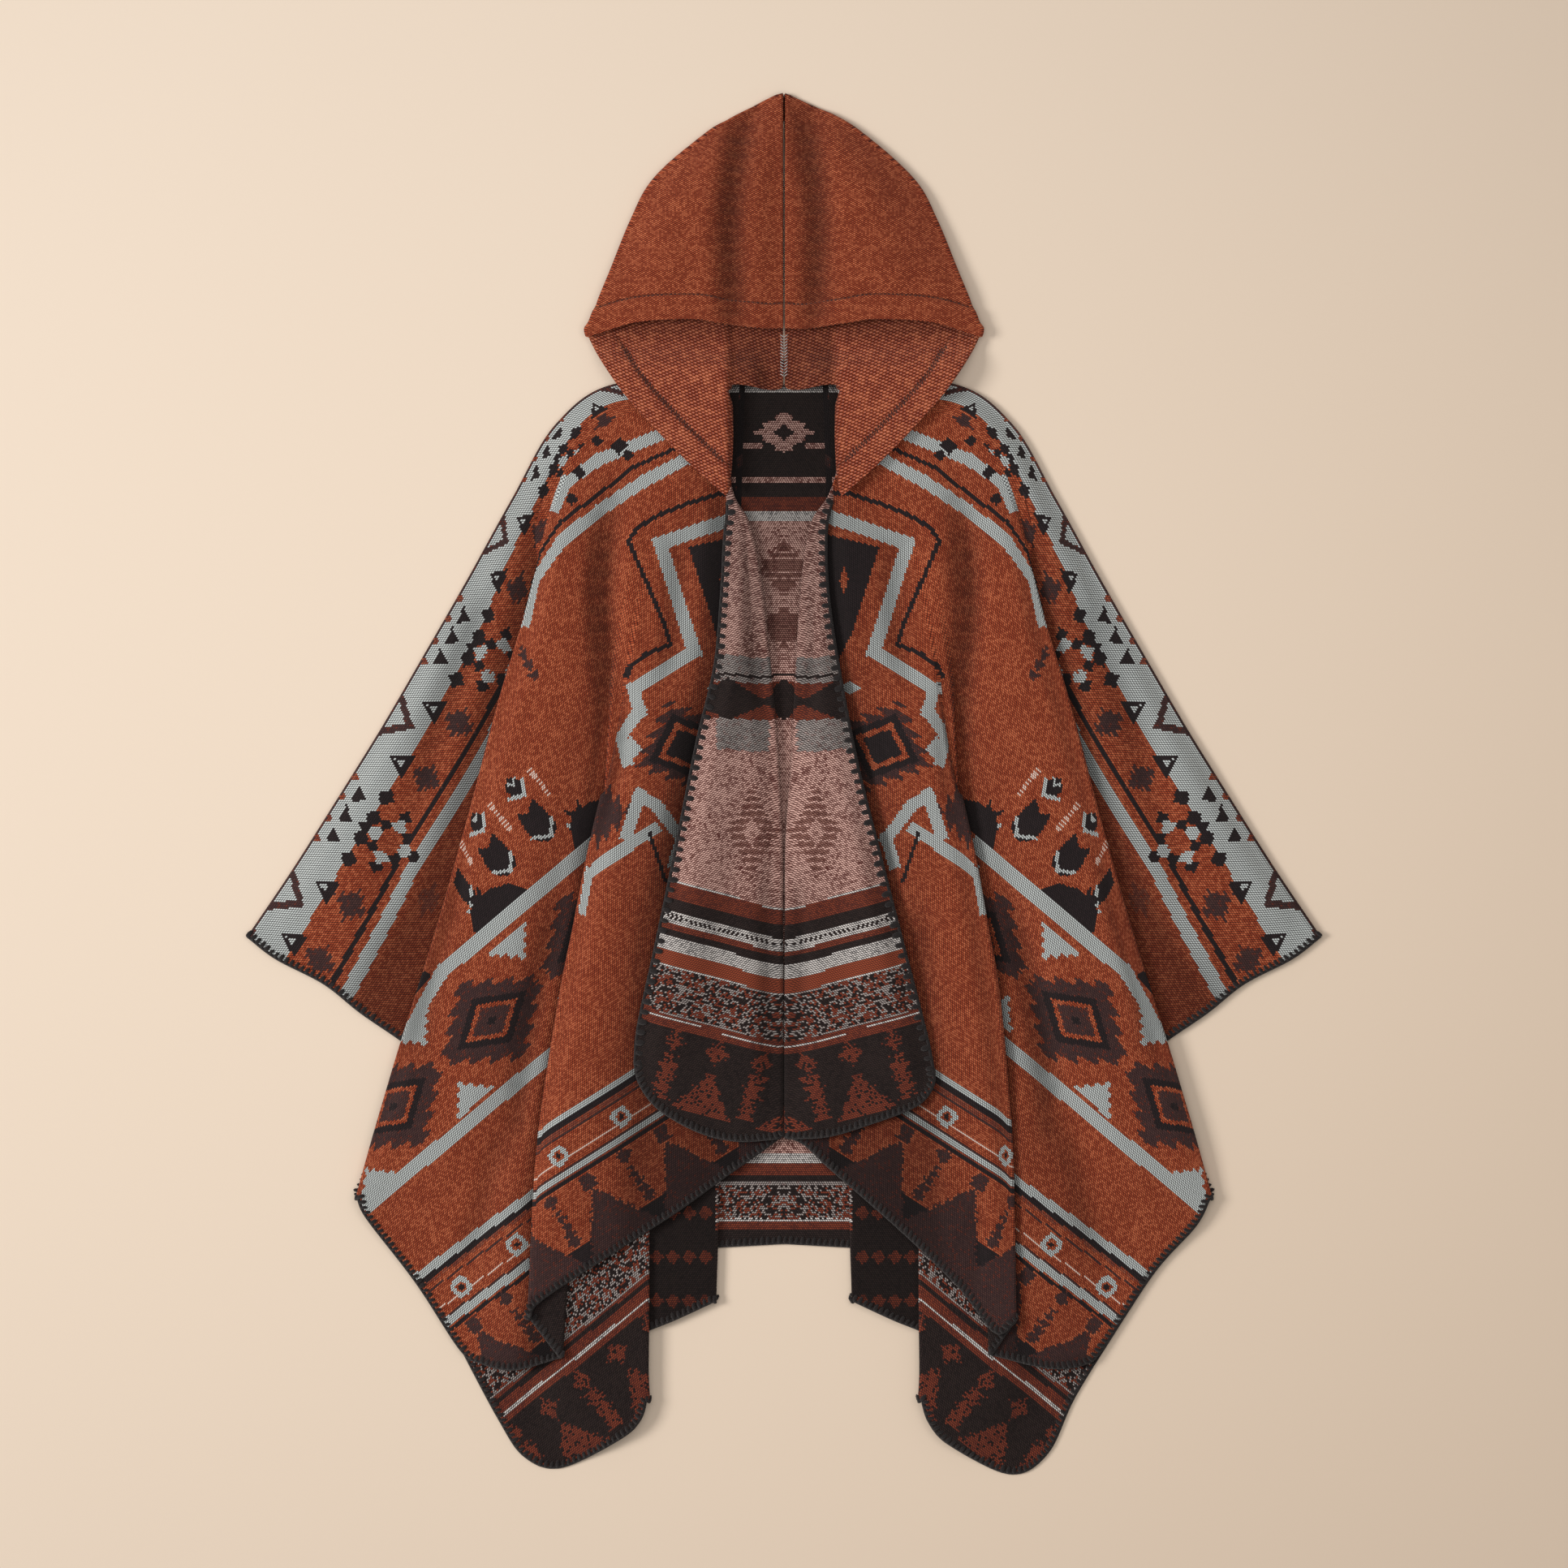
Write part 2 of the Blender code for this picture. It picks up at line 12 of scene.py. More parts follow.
import bmesh
import bpy
import numpy as np
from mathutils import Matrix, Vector


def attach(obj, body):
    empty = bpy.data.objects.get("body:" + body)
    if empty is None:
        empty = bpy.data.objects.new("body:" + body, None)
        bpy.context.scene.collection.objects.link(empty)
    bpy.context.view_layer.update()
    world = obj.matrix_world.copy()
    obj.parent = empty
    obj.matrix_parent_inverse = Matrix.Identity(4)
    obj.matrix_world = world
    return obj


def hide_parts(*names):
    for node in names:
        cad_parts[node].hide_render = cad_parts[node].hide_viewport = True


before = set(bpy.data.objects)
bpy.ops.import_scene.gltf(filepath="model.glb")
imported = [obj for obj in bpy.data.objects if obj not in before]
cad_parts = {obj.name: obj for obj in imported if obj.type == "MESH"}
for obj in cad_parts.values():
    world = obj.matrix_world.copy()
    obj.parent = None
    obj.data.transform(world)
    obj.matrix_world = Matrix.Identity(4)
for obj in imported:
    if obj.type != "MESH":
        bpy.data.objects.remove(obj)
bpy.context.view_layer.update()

LOG = logging.getLogger("poncho")
Rows = tuple[tuple[float, ...], ...]
Pair = tuple[float, float]
Array = np.ndarray
Finish, Piece = bpy.types.Material, bpy.types.Object
MM = 0.001
CLOTH = 2.4
GAP = 0.8
LINE_POINTS = 400
INWARD, OUTWARD = -1, 1

# Places along each line run from the neck (first row) to the hem (last row): out, y
SHOULDER_EDGE: Rows = (
    (54, 416), (174, 419), (238, 377), (284, 299), (330, 216),
    (377, 134), (423, 55), (469, -19), (516, -93), (561, -159),
)

# Outer pleat, where the body of the front lies over the wing: edge out, edge y, hidden out, hidden y, folded
WING_PLEAT: Rows = (
    (56, 398, 57, 406, 0), (148, 390, 156, 396, 0), (214, 344, 224, 349, 0), (249, 275, 259, 279, 0.6),
    (272, 180, 252, 192, 1), (300, 85, 272, 98, 1), (330, -28, 294, -8, 1), (365, -150, 320, -115, 1),
    (410, -293, 346, -218, 1), (450, -430, 372, -288, 1),
)

# Inner pleat of each front: edge out, edge y, hidden out, hidden y, folded
BODY_PLEAT: dict[str, Rows] = {
    "left": (
        (58, 372, 60, 380, 0), (95, 345, 103, 352, 0), (125, 290, 135, 296, 0), (148, 205, 160, 208, 0.1),
        (166, 115, 178, 117, 0.4), (182, 30, 184, 30, 0.9), (206, -74, 190, -74, 1), (232, -215, 200, -217, 1),
        (257, -370, 218, -378, 1), (269, -556, 233, -597, 1),
    ),
    "right": (
        (58, 372, 60, 380, 0), (95, 345, 103, 352, 0), (123, 290, 133, 296, 0), (145, 205, 157, 208, 0.1),
        (162, 115, 174, 117, 0.4), (177, 30, 179, 30, 0.9), (200, -74, 184, -74, 1), (223, -215, 194, -217, 1),
        (238, -370, 204, -378, 1), (244, -560, 216, -594, 1),
    ),
}

# Turned lapel: fold out, fold y, free edge out, free edge y, folded
LAPEL: dict[str, Rows] = {
    "left": (
        (59, 326, 61, 306, 0), (50, 300, 59, 287, 0.7), (35, 272, 62, 257, 1), (23, 215, 65, 200, 1),
        (14, 130, 72, 123, 1), (6, 45, 91, 41, 1), (1, -60, 113, -70, 1), (1, -160, 134, -172, 1),
        (1, -265, 151, -250, 1), (1, -369, 155, -290, 1),
    ),
    "right": (
        (57, 326, 56, 306, 0), (44, 300, 48, 287, 0.7), (27, 272, 44, 257, 1), (18, 215, 46, 200, 1),
        (12, 130, 56, 128, 1), (7, 30, 75, 27, 1), (1, -60, 97, -62, 1), (1, -160, 122, -160, 1),
        (1, -265, 147, -257, 1), (1, -369, 155, -295, 1),
    ),
}

# Hem of each stretch of a front, from its outer end to its inner one: out, y
WING_HEM: Rows = ((561, -159), (531, -182), (481, -208), (443, -238), (405, -264), (372, -288))
BODY_HEM: dict[str, Rows] = {
    "left": ((450, -430), (440, -453), (386, -523), (340, -591), (319, -604), (283, -610), (233, -597)),
    "right": ((450, -430), (434, -461), (390, -510), (335, -590), (314, -606), (276, -608), (216, -594)),
}
INNER_HEM: dict[str, Rows] = {
    "left": ((269, -556), (262, -540), (204, -502), (119, -450), (53, -405), (13, -378), (1, -369)),
    "right": ((244, -560), (224, -570), (185, -523), (119, -462), (47, -402), (18, -376), (1, -369)),
}
LAPEL_HEM: dict[str, Rows] = {
    "left": ((1, -369), (45, -371), (85, -362), (128, -338), (149, -312), (155, -290)),
    "right": ((1, -369), (44, -366), (90, -352), (136, -334), (154, -314), (155, -295)),
}

# The back: its hidden side, its two pleats a side and its hems
BACK_SIDE: Rows = (
    (557, -161), (531, -176), (481, -202), (443, -231), (404, -258),
    (386, -300), (382, -380), (372, -480), (350, -566),
)
TAIL_PLEAT: Rows = (
    (100, 418, 92, 418, 0), (112, 260, 104, 260, 0), (124, 80, 114, 80, 0), (134, -100, 124, -100, 0),
    (140, -270, 134, -270, 0.4), (143, -420, 160, -420, 1), (143, -540, 176, -520, 1), (144, -642, 190, -594, 1),
)
CENTRE_PLEAT: Rows = (
    (48, 418, 42, 418, 0), (54, 260, 47, 260, 0), (59, 80, 51, 80, 0), (63, -100, 55, -100, 0),
    (67, -260, 61, -260, 0.4), (70, -380, 84, -380, 1), (71, -470, 96, -445, 1), (73, -540, 106, -486, 1),
)
TAIL_HEM: dict[str, Rows] = {
    "left": ((350, -566), (298, -664), (270, -704), (232, -714), (170, -682), (150, -662), (144, -642)),
    "right": ((350, -566), (304, -640), (275, -700), (236, -721), (174, -690), (152, -666), (144, -642)),
}
MIDDLE_HEM: Rows = ((190, -594), (143, -571), (114, -559), (73, -540))
BACK_NECK_Y = 418
CENTRE_HEM_Y = -480

# The hood: its outline, where its lower layer ends, and the front edge of its upper layer: out, y
HOOD_OUTER: Rows = (
    (61, 300), (98, 333), (141, 377), (174, 416), (204, 467), (199, 486), (178, 536),
    (156, 589), (133, 630), (83, 675), (51, 697), (0, 721),
)
HOOD_INNER: Rows = (
    (59, 302), (55, 330), (53, 360), (54, 392), (54, 416), (0, 416), (0, 480),
    (0, 540), (0, 590), (0, 640), (0, 685), (0, 721),
)
HOOD_FACE: Rows = ((204, 467), (154, 481), (95, 484), (66, 480), (22, 475), (0, 476))
HOOD_CORNER = 4


def along(table: Rows | Array, fractions: Array) -> Array:
    """Points of the smooth line through a table's rows.

    Args:
        table: Rows of places, the first at the start of the line.
        fractions: How far down the table each point lies, from 0 to 1.

    Returns:
        One row for each fraction.
    """
    rows = np.asarray(table, float)
    place = np.clip(fractions, 0, 1) * (len(rows) - 1)
    first = np.minimum(place.astype(int), len(rows) - 2)
    t = (place - first)[:, None]
    ends = np.vstack([2 * rows[0] - rows[1], rows, 2 * rows[-1] - rows[-2]])
    before, start, end, after = (ends[first + k] for k in range(4))
    bend = 2 * before - 5 * start + 4 * end - after
    twist = 3 * start - before - 3 * end + after
    return start + 0.5 * ((end - before) * t + bend * t**2 + twist * t**3)


def evenly(table: Rows | Array, count: int) -> Array:
    """Points spaced evenly by length along the smooth line through a table's rows.

    Args:
        table: Rows of places.
        count: How many points to return.

    Returns:
        The points, first and last row included.
    """
    fine = along(table, np.linspace(0, 1, LINE_POINTS))
    length = np.concatenate([[0], np.cumsum(np.linalg.norm(np.diff(fine, axis=0), axis=1))])
    wanted = np.linspace(0, length[-1], count)
    return np.stack([np.interp(wanted, length, fine[:, k]) for k in range(fine.shape[1])], axis=1)


def unit(vectors: Array) -> Array:
    """Vectors made one long."""
    return vectors / np.maximum(np.linalg.norm(vectors, axis=-1, keepdims=True), 1e-9)


def smooth(amount: Array) -> Array:
    """A ramp from 0 to 1 with soft ends."""
    held = np.clip(amount, 0, 1)
    return held * held * (3 - 2 * held)


def bell(away: Array, reach: float) -> Array:
    """A soft bump: 1 at no distance, and nearly 0 past twice its reach."""
    return np.exp(-((away / reach) ** 2))


def on_side(table: Rows, side: int, count: int) -> Array:
    """A table's places on one side of the centre line, evenly spaced."""
    return evenly(np.asarray(table) * (side, 1), count)


def placed(name: str, data: bpy.types.ID) -> Piece:
    """A new object at the scene's origin."""
    made = bpy.data.objects.new(name, data)
    bpy.context.scene.collection.objects.link(made)
    return made


def add_node(tree: bpy.types.NodeTree, kind: str, settings: dict | None, inputs: dict) -> bpy.types.Node:
    """Makes a node and fills its sockets.

    Args:
        tree: The tree that it joins.
        kind: The node's type.
        settings: Its properties, set before its sockets.
        inputs: What each socket gets, by its name with _ for spaces, or by i and its number.

    Returns:
        The node.
    """
    made = tree.nodes.new(kind)
    for key, setting in (settings or {}).items():
        setattr(made, key, setting)
    for key, given in inputs.items():
        socket = made.inputs[int(key[1:]) if key[0] == "i" and key[1:].isdigit() else key.replace("_", " ")]
        given = getattr(given, "socket", given)
        if isinstance(given, bpy.types.NodeSocket):
            tree.links.new(given, socket)
        else:
            socket.default_value = given
    return made


class Pile:
    """The height of the cloth laid down so far, on a square grid over the floor."""

    CELL = 4.0
    HALF = np.array((620.0, 780.0))

    def __init__(self, height: Array | None = None) -> None:
        """Starts a bare pile, or a copy of another one's height."""
        size = (2 * self.HALF / self.CELL).astype(int)
        self.height = np.zeros(size) if height is None else height.copy()

    def spread(self, reach: float, soften: float) -> Array:
        """The height with every high spot widened and then softened.

        Args:
            reach, soften: How far a high spot widens, and how far the softening works.

        Returns:
            A grid of heights.
        """
        def shifted(grid: Array, axis: int, radius: int) -> list[Array]:
            """The grid moved by each whole step up to a radius."""
            return [np.roll(grid, k, axis) for k in range(-radius, radius + 1)]

        wide = self.height
        blur = int(soften / self.CELL)
        for axis in (0, 1):
            wide = np.maximum.reduce(shifted(wide, axis, int(reach / self.CELL) + blur))
        for axis in (0, 1, 0, 1):
            wide = np.mean(shifted(wide, axis, max(blur * 2 // 3, 1)), axis=0)
        return wide

    def rest(self, plan: Array, reach: float = 36.0, soften: float = 20.0) -> Array:
        """The height at which the middle of a cloth lies on the pile.

        Args:
            plan: Plan points of the cloth.
            reach, soften: How far high spots hold the cloth up around them, and how soft the rise is.

        Returns:
            One height for each plan point.
        """
        grid = self.spread(reach, soften)
        place = np.clip((plan + self.HALF) / self.CELL - 0.5, 0, np.array(grid.shape) - 1.001)
        column, row = np.moveaxis(place.astype(int), -1, 0)
        s, t = np.moveaxis(place - place.astype(int), -1, 0)
        near = grid[column, row] * (1 - s) + grid[column + 1, row] * s
        far = grid[column, row + 1] * (1 - s) + grid[column + 1, row + 1] * s
        return near * (1 - t) + far * t + CLOTH / 2

    def add(self, points: Array, fill: int = 4) -> None:
        """Lays down a grid of middle points, so that later cloth clears it.

        Args:
            points: Rows and columns of points in space.
            fill: How many steps each square of the grid is split into.
        """
        rows, columns = points.shape[:2]
        down = np.linspace(0, rows - 1, (rows - 1) * fill + 1)
        across = np.linspace(0, columns - 1, (columns - 1) * fill + 1)
        row = np.minimum(down.astype(int), rows - 2)
        column = np.minimum(across.astype(int), columns - 2)
        s = (down - row)[:, None, None]
        t = (across - column)[None, :, None]
        upper = points[row][:, column] * (1 - t) + points[row][:, column + 1] * t
        lower = points[row + 1][:, column] * (1 - t) + points[row + 1][:, column + 1] * t
        dense = (upper * (1 - s) + lower * s).reshape(-1, 3)
        place = ((dense[:, :2] + self.HALF) / self.CELL).astype(int)
        place = np.clip(place, 0, np.array(self.height.shape) - 1)
        np.maximum.at(self.height, (place[:, 0], place[:, 1]), dense[:, 2] + CLOTH / 2 + GAP)


@dataclass
class Crease:
    """A soft ridge or trough in the cloth.

    Attributes:
        points: The line that it follows: out, y.
        height: How far it stands up, or sinks where it is below zero, in millimetres.
        width: How far its side reaches.
    """

    points: Rows
    height: float
    width: float

    def lift(self, plan: Array) -> Array:
        """How far the crease lifts each plan point.

        Args:
            plan: Plan points as out, y.

        Returns:
            A lift for each point, which fades out at both ends of the line.
        """
        line = evenly(self.points, 24)
        gap = np.linalg.norm(plan[..., None, :] - line, axis=-1)
        near = gap.min(axis=-1)
        at = gap.argmin(axis=-1) / (len(line) - 1)
        fade = smooth(at / 0.3) * smooth((1 - at) / 0.3)
        return self.height * fade * bell(near, self.width)


@dataclass
class Fold:
    """A fold line with the hidden line under it, at each row of a cloth.

    Attributes:
        edge, hidden: Plan points of the fold's edge and of the hidden line.
        folded: How far the fold is closed at each row, from 0 to 1.
    """

    FLAT_SHARE = 0.25

    edge: Array
    hidden: Array
    folded: Array

    @classmethod
    def of(cls, table: Rows, side: int, down: Array, way: int = 0, rounding: float = 0.0) -> "Fold":
        """Reads a fold from its table.

        Args:
            table: Rows of edge out, edge y, hidden out, hidden y, folded.
            side: -1 on the left and 1 on the right.
            down: How far down the table each row lies.
            way, rounding: The way, and how far, the edge is drawn back for the turned cloth.

        Returns:
            The fold.
        """
        line = along(table, down)
        folded = np.clip(line[:, 4], 0, 1)
        line[:, 0] += way * rounding * folded
        return cls(line[:, :2] * (side, 1), line[:, 2:4] * (side, 1), folded)

    def ends(self, line: Array, way: int = 1) -> tuple[Array, Array]:
        """The first layer's end and the next one's start at a line, apart only where the fold is open."""
        spacing = (1 - self.folded)[:, None] * (self.edge - self.hidden) * self.FLAT_SHARE
        return line - spacing * way, line + spacing * way


class Stretch(Enum):
    """The stretches of cloth, each with its own part of the woven pattern."""

    WING = 0
    BODY = 1
    INNER = 2
    LAPEL = 3


@dataclass
class Layer:
    """One layer of a cloth, as a grid of middle points.

    Attributes:
        points: Rows and columns of points in space.
        chart: The pattern's place at each: out, y.
        stretch: Whose pattern it shows.
        edge_band: Along and in from its own edge, if its bands don't follow the shoulder.
        painted_shade: How much painted shade darkens each point, from 0 to 1, deep in a crease or beside a fold's
            edge.
    """

    points: Array
    chart: Array
    stretch: Stretch
    edge_band: Array | None = None
    painted_shade: Array | None = None

    @property
    def shade(self) -> Array:
        """The painted shade as a map, which is even where there is none."""
        painted_shade = np.zeros(self.points.shape[:2]) if self.painted_shade is None else self.painted_shade
        return np.stack([painted_shade * 100, painted_shade], axis=-1)

    @property
    def band(self) -> Array:
        """Along and in from the edge that the cloth's bands follow."""
        return beside(SHOULDER_EDGE, self.chart) if self.edge_band is None else self.edge_band


def nose(first: Layer, second: Layer, folded: Array, count: int) -> Layer:
    """The columns that carry the cloth round a fold.

    Args:
        first, second: The layer that ends at the fold, and the one whose pattern goes on round it.
        folded: How far the fold is closed at each row.
        count: How many columns to make.

    Returns:
        The turned cloth.
    """
    end, start = first.points[:, -1], second.points[:, 0]
    way = unit((end - first.points[:, -2])[:, :2])
    radius = np.abs(end - start)[:, 2:] / 2 * folded[:, None] ** 2
    out = np.sign(end[:, :1]) * way[:, :1]
    points, chart = [], []
    for angle in np.linspace(0, np.pi, count + 2)[1:-1]:
        bulge = np.hstack([way * radius * np.sin(angle), np.zeros_like(radius)])
        points.append((end + start) / 2 + (end - start) / 2 * np.cos(angle) + bulge)
        run = np.hstack([out * radius * (np.pi - angle), np.zeros_like(radius)])
        share = (1 + np.cos(angle)) / 2
        flat = first.chart[:, -1] * share + second.chart[:, 0] * (1 - share)
        chart.append(flat + (second.chart[:, 0] + run - flat) * folded[:, None])
    # The turned cloth's painted shade goes evenly from one layer's to the next.
    painted_shade = np.linspace(first.shade[:, -1, 1], second.shade[:, 0, 1], count + 2, axis=1)[:, 1:-1]
    return Layer(np.stack(points, axis=1), np.stack(chart, axis=1), second.stretch, painted_shade=painted_shade)


def with_turns(laid: list[Layer], folds: list[Fold], turn: int) -> list[Layer]:
    """Layers with the turned cloth between them.

    Args:
        laid: The layers in order.
        folds: The fold between each and the next.
        turn: Columns of each turn.

    Returns:
        All of them in order.
    """
    whole = laid[:1]
    for before, after, fold in zip(laid, laid[1:], folds):
        whole += [nose(before, after, fold.folded, turn), after]
    return whole


def raised(plan: Array, height: Array) -> Array:
    """Plan points with a height each, as points in space."""
    return np.concatenate([plan, height[..., None]], axis=-1)


def outward(plan: Array) -> Array:
    """Plan points as out, y."""
    return np.abs(plan) * (1, 0) + plan * (0, 1)


def patch(first: Array, last: Array, top: Array | None, hem: Array, down: Array) -> Array:
    """Plan points of a stretch of cloth between two side lines, with its own top and hem lines.

    Args:
        first, last: The side lines.
        top: The line of the first row, or nothing where it is straight.
        hem: The line of the last row.
        down: How far down each row lies, from 0 to 1.

    Returns:
        Rows and columns of plan points.
    """
    across = np.linspace(0, 1, len(hem))[None, :, None]
    fall = down[:, None, None]

    def bow(line: Array) -> Array:
        """How far a line bows from its own chord."""
        return line - ((1 - across[0]) * line[:1] + across[0] * line[-1:])

    top = np.linspace(first[0], last[0], len(hem)) if top is None else top
    sides = (1 - across) * first[:, None] + across * last[:, None]
    return sides + (1 - fall) ** 4 * bow(top) + fall**3 * bow(hem)


def straight(first: Array, last: Array, count: int) -> Array:
    """A straight row of plan points between the last rows of two side lines."""
    return np.linspace(first[-1], last[-1], count)


def wall(name: str, layers: list[Layer], flip: bool, finishes: list[Finish], drop: tuple[int, int] = (0, 0)) -> Piece:
    """Joins layers into one cloth wall of even thickness, with the pattern's places and the painted shade as UV maps.

    Args:
        name: The piece's name.
        layers: The layers in order.
        flip: Whether the faces are turned, so that the right side faces out.
        finishes: The right side's finishes, the wrong side's and the rim's.
        drop: The rows, and the first column, of a corner with no cloth.

    Returns:
        The wall, at the origin.
    """
    points, chart, band, painted_shade = (np.concatenate([getattr(layer, grid) for layer in layers], axis=1)
                                   for grid in ("points", "chart", "band", "shade"))
    owner = np.concatenate([np.full(layer.points.shape[1], layer.stretch.value) for layer in layers])
    rows, columns = points.shape[:2]
    made = bmesh.new()
    verts = [made.verts.new(point) for point in points.reshape(-1, 3) * MM]
    # The painted shade rides along as a third UV map.
    maps = [(made.loops.layers.uv.new(label), values.reshape(-1, 2) / 100)
            for label, values in (("chart", chart), ("band", band), ("painted_shade", painted_shade))]
    made.verts.index_update()
    for row in range(rows - 1):
        for column in range(columns - 1):
            if row < drop[0] and column >= drop[1] - 1:
                continue
            corner = row * columns + column
            ring = [corner, corner + 1, corner + columns + 1, corner + columns]
            face = made.faces.new([verts[k] for k in (ring[::-1] if flip else ring)])
            face.smooth = True
            face.material_index = int(owner[column + 1])
            for loop in face.loops:
                for layer, values in maps:
                    loop[layer].uv = values[loop.vert.index]
    bmesh.ops.delete(made, geom=[v for v in made.verts if not v.link_faces], context="VERTS")
    bmesh.ops.remove_doubles(made, verts=made.verts, dist=0.05 * MM)
    mesh = bpy.data.meshes.new(name)
    made.to_mesh(mesh)
    made.free()
    for finish in finishes:
        mesh.materials.append(finish)
    piece = placed(name, mesh)
    solid = piece.modifiers.new("Thickness", "SOLIDIFY")
    solid.thickness = CLOTH * MM
    solid.offset = 0.0
    solid.material_offset = len(finishes) // 2
    solid.material_offset_rim = len(finishes) - 1
    return baked(piece)


def baked(piece: Piece) -> Piece:
    """Turns a piece's modifiers into plain mesh.

    Args:
        piece: The piece.

    Returns:
        The same piece.
    """
    graph = bpy.context.evaluated_depsgraph_get()
    mesh = bpy.data.meshes.new_from_object(piece.evaluated_get(graph), depsgraph=graph)
    piece.modifiers.clear()
    piece.data = mesh
    mesh.name = piece.name
    return piece


def beside(table: Rows, places: Array) -> Array:
    """Where places lie along a line and in from it.

    Args:
        table: The line's rows: out, y.
        places: Places as out, y.

    Returns:
        Along the line from its first row, and how far to its right, for each place.
    """
    line = evenly(table, LINE_POINTS)
    steps = np.diff(line, axis=0)
    run = np.concatenate([[0], np.cumsum(np.linalg.norm(steps, axis=1))])
    flat = places.reshape(-1, 2)
    made = np.empty_like(flat)
    block = 4000
    for start in range(0, len(flat), block):
        here = flat[start:start + block]
        nearest = np.linalg.norm(here[:, None] - line, axis=-1).argmin(axis=1)
        nearest = np.clip(nearest, 0, len(steps) - 1)
        way = unit(steps[nearest])
        offset = here - line[nearest]
        ahead = (offset * way).sum(axis=1)
        inward = offset[:, 0] * way[:, 1] - offset[:, 1] * way[:, 0]
        made[start:start + block] = np.stack([run[nearest] + ahead, inward], axis=1)
    return made.reshape(places.shape)


PLEAT_ROOT = (
    Crease(((166, 350), (184, 280), (190, 225), (191, 174), (183, 89), (188, 0), (212, -80)), -12.0, 16),
    Crease(((152, 310), (160, 225), (161, 160), (156, 70)), 3.5, 12),
    Crease(((132, 300), (118, 230), (122, 150), (134, 60)), -4.0, 13),
)
FRONT_CREASES = {
    Stretch.WING: (
        Crease(((300, 236), (345, 110), (392, -20)), -6.0, 18), Crease(((400, 60), (440, -60), (470, -160)), 3.0, 24),
        Crease(((352, 60), (402, -60), (430, -170)), -4.0, 18),
    ),
    Stretch.BODY: (
        *PLEAT_ROOT, Crease(((226, 262), (236, 150), (262, 0), (290, -140)), 3.0, 24),
        Crease(((246, 30), (268, -90), (318, -260), (350, -400)), 3.0, 26),
        Crease(((214, -60), (246, -170), (272, -290), (282, -430)), -9.0, 16),
        Crease(((330, -60), (372, -200), (392, -330)), -6.0, 18),
        Crease(((290, -330), (312, -430), (340, -520)), -5.0, 15),
    ),
    Stretch.INNER: (
        *PLEAT_ROOT, Crease(((100, 300), (108, 200), (118, 90)), -4.0, 13),
        Crease(((168, -60), (184, -180), (204, -310), (232, -450)), 2.0, 16),
        Crease(((126, -60), (140, -180), (154, -300), (176, -430)), -9.0, 20),
        Crease(((206, -420), (196, -480), (190, -540)), -5.0, 12),
    ),
    Stretch.LAPEL: (
        Crease(((50, 262), (54, 150), (58, 30)), 3.0, 10), Crease(((30, 280), (28, 180), (26, 60)), -7.0, 10),
        Crease(((66, -10), (84, -120), (96, -230)), 2.5, 18), Crease(((20, -60), (14, -180), (12, -340)), -6.0, 13),
    ),
}


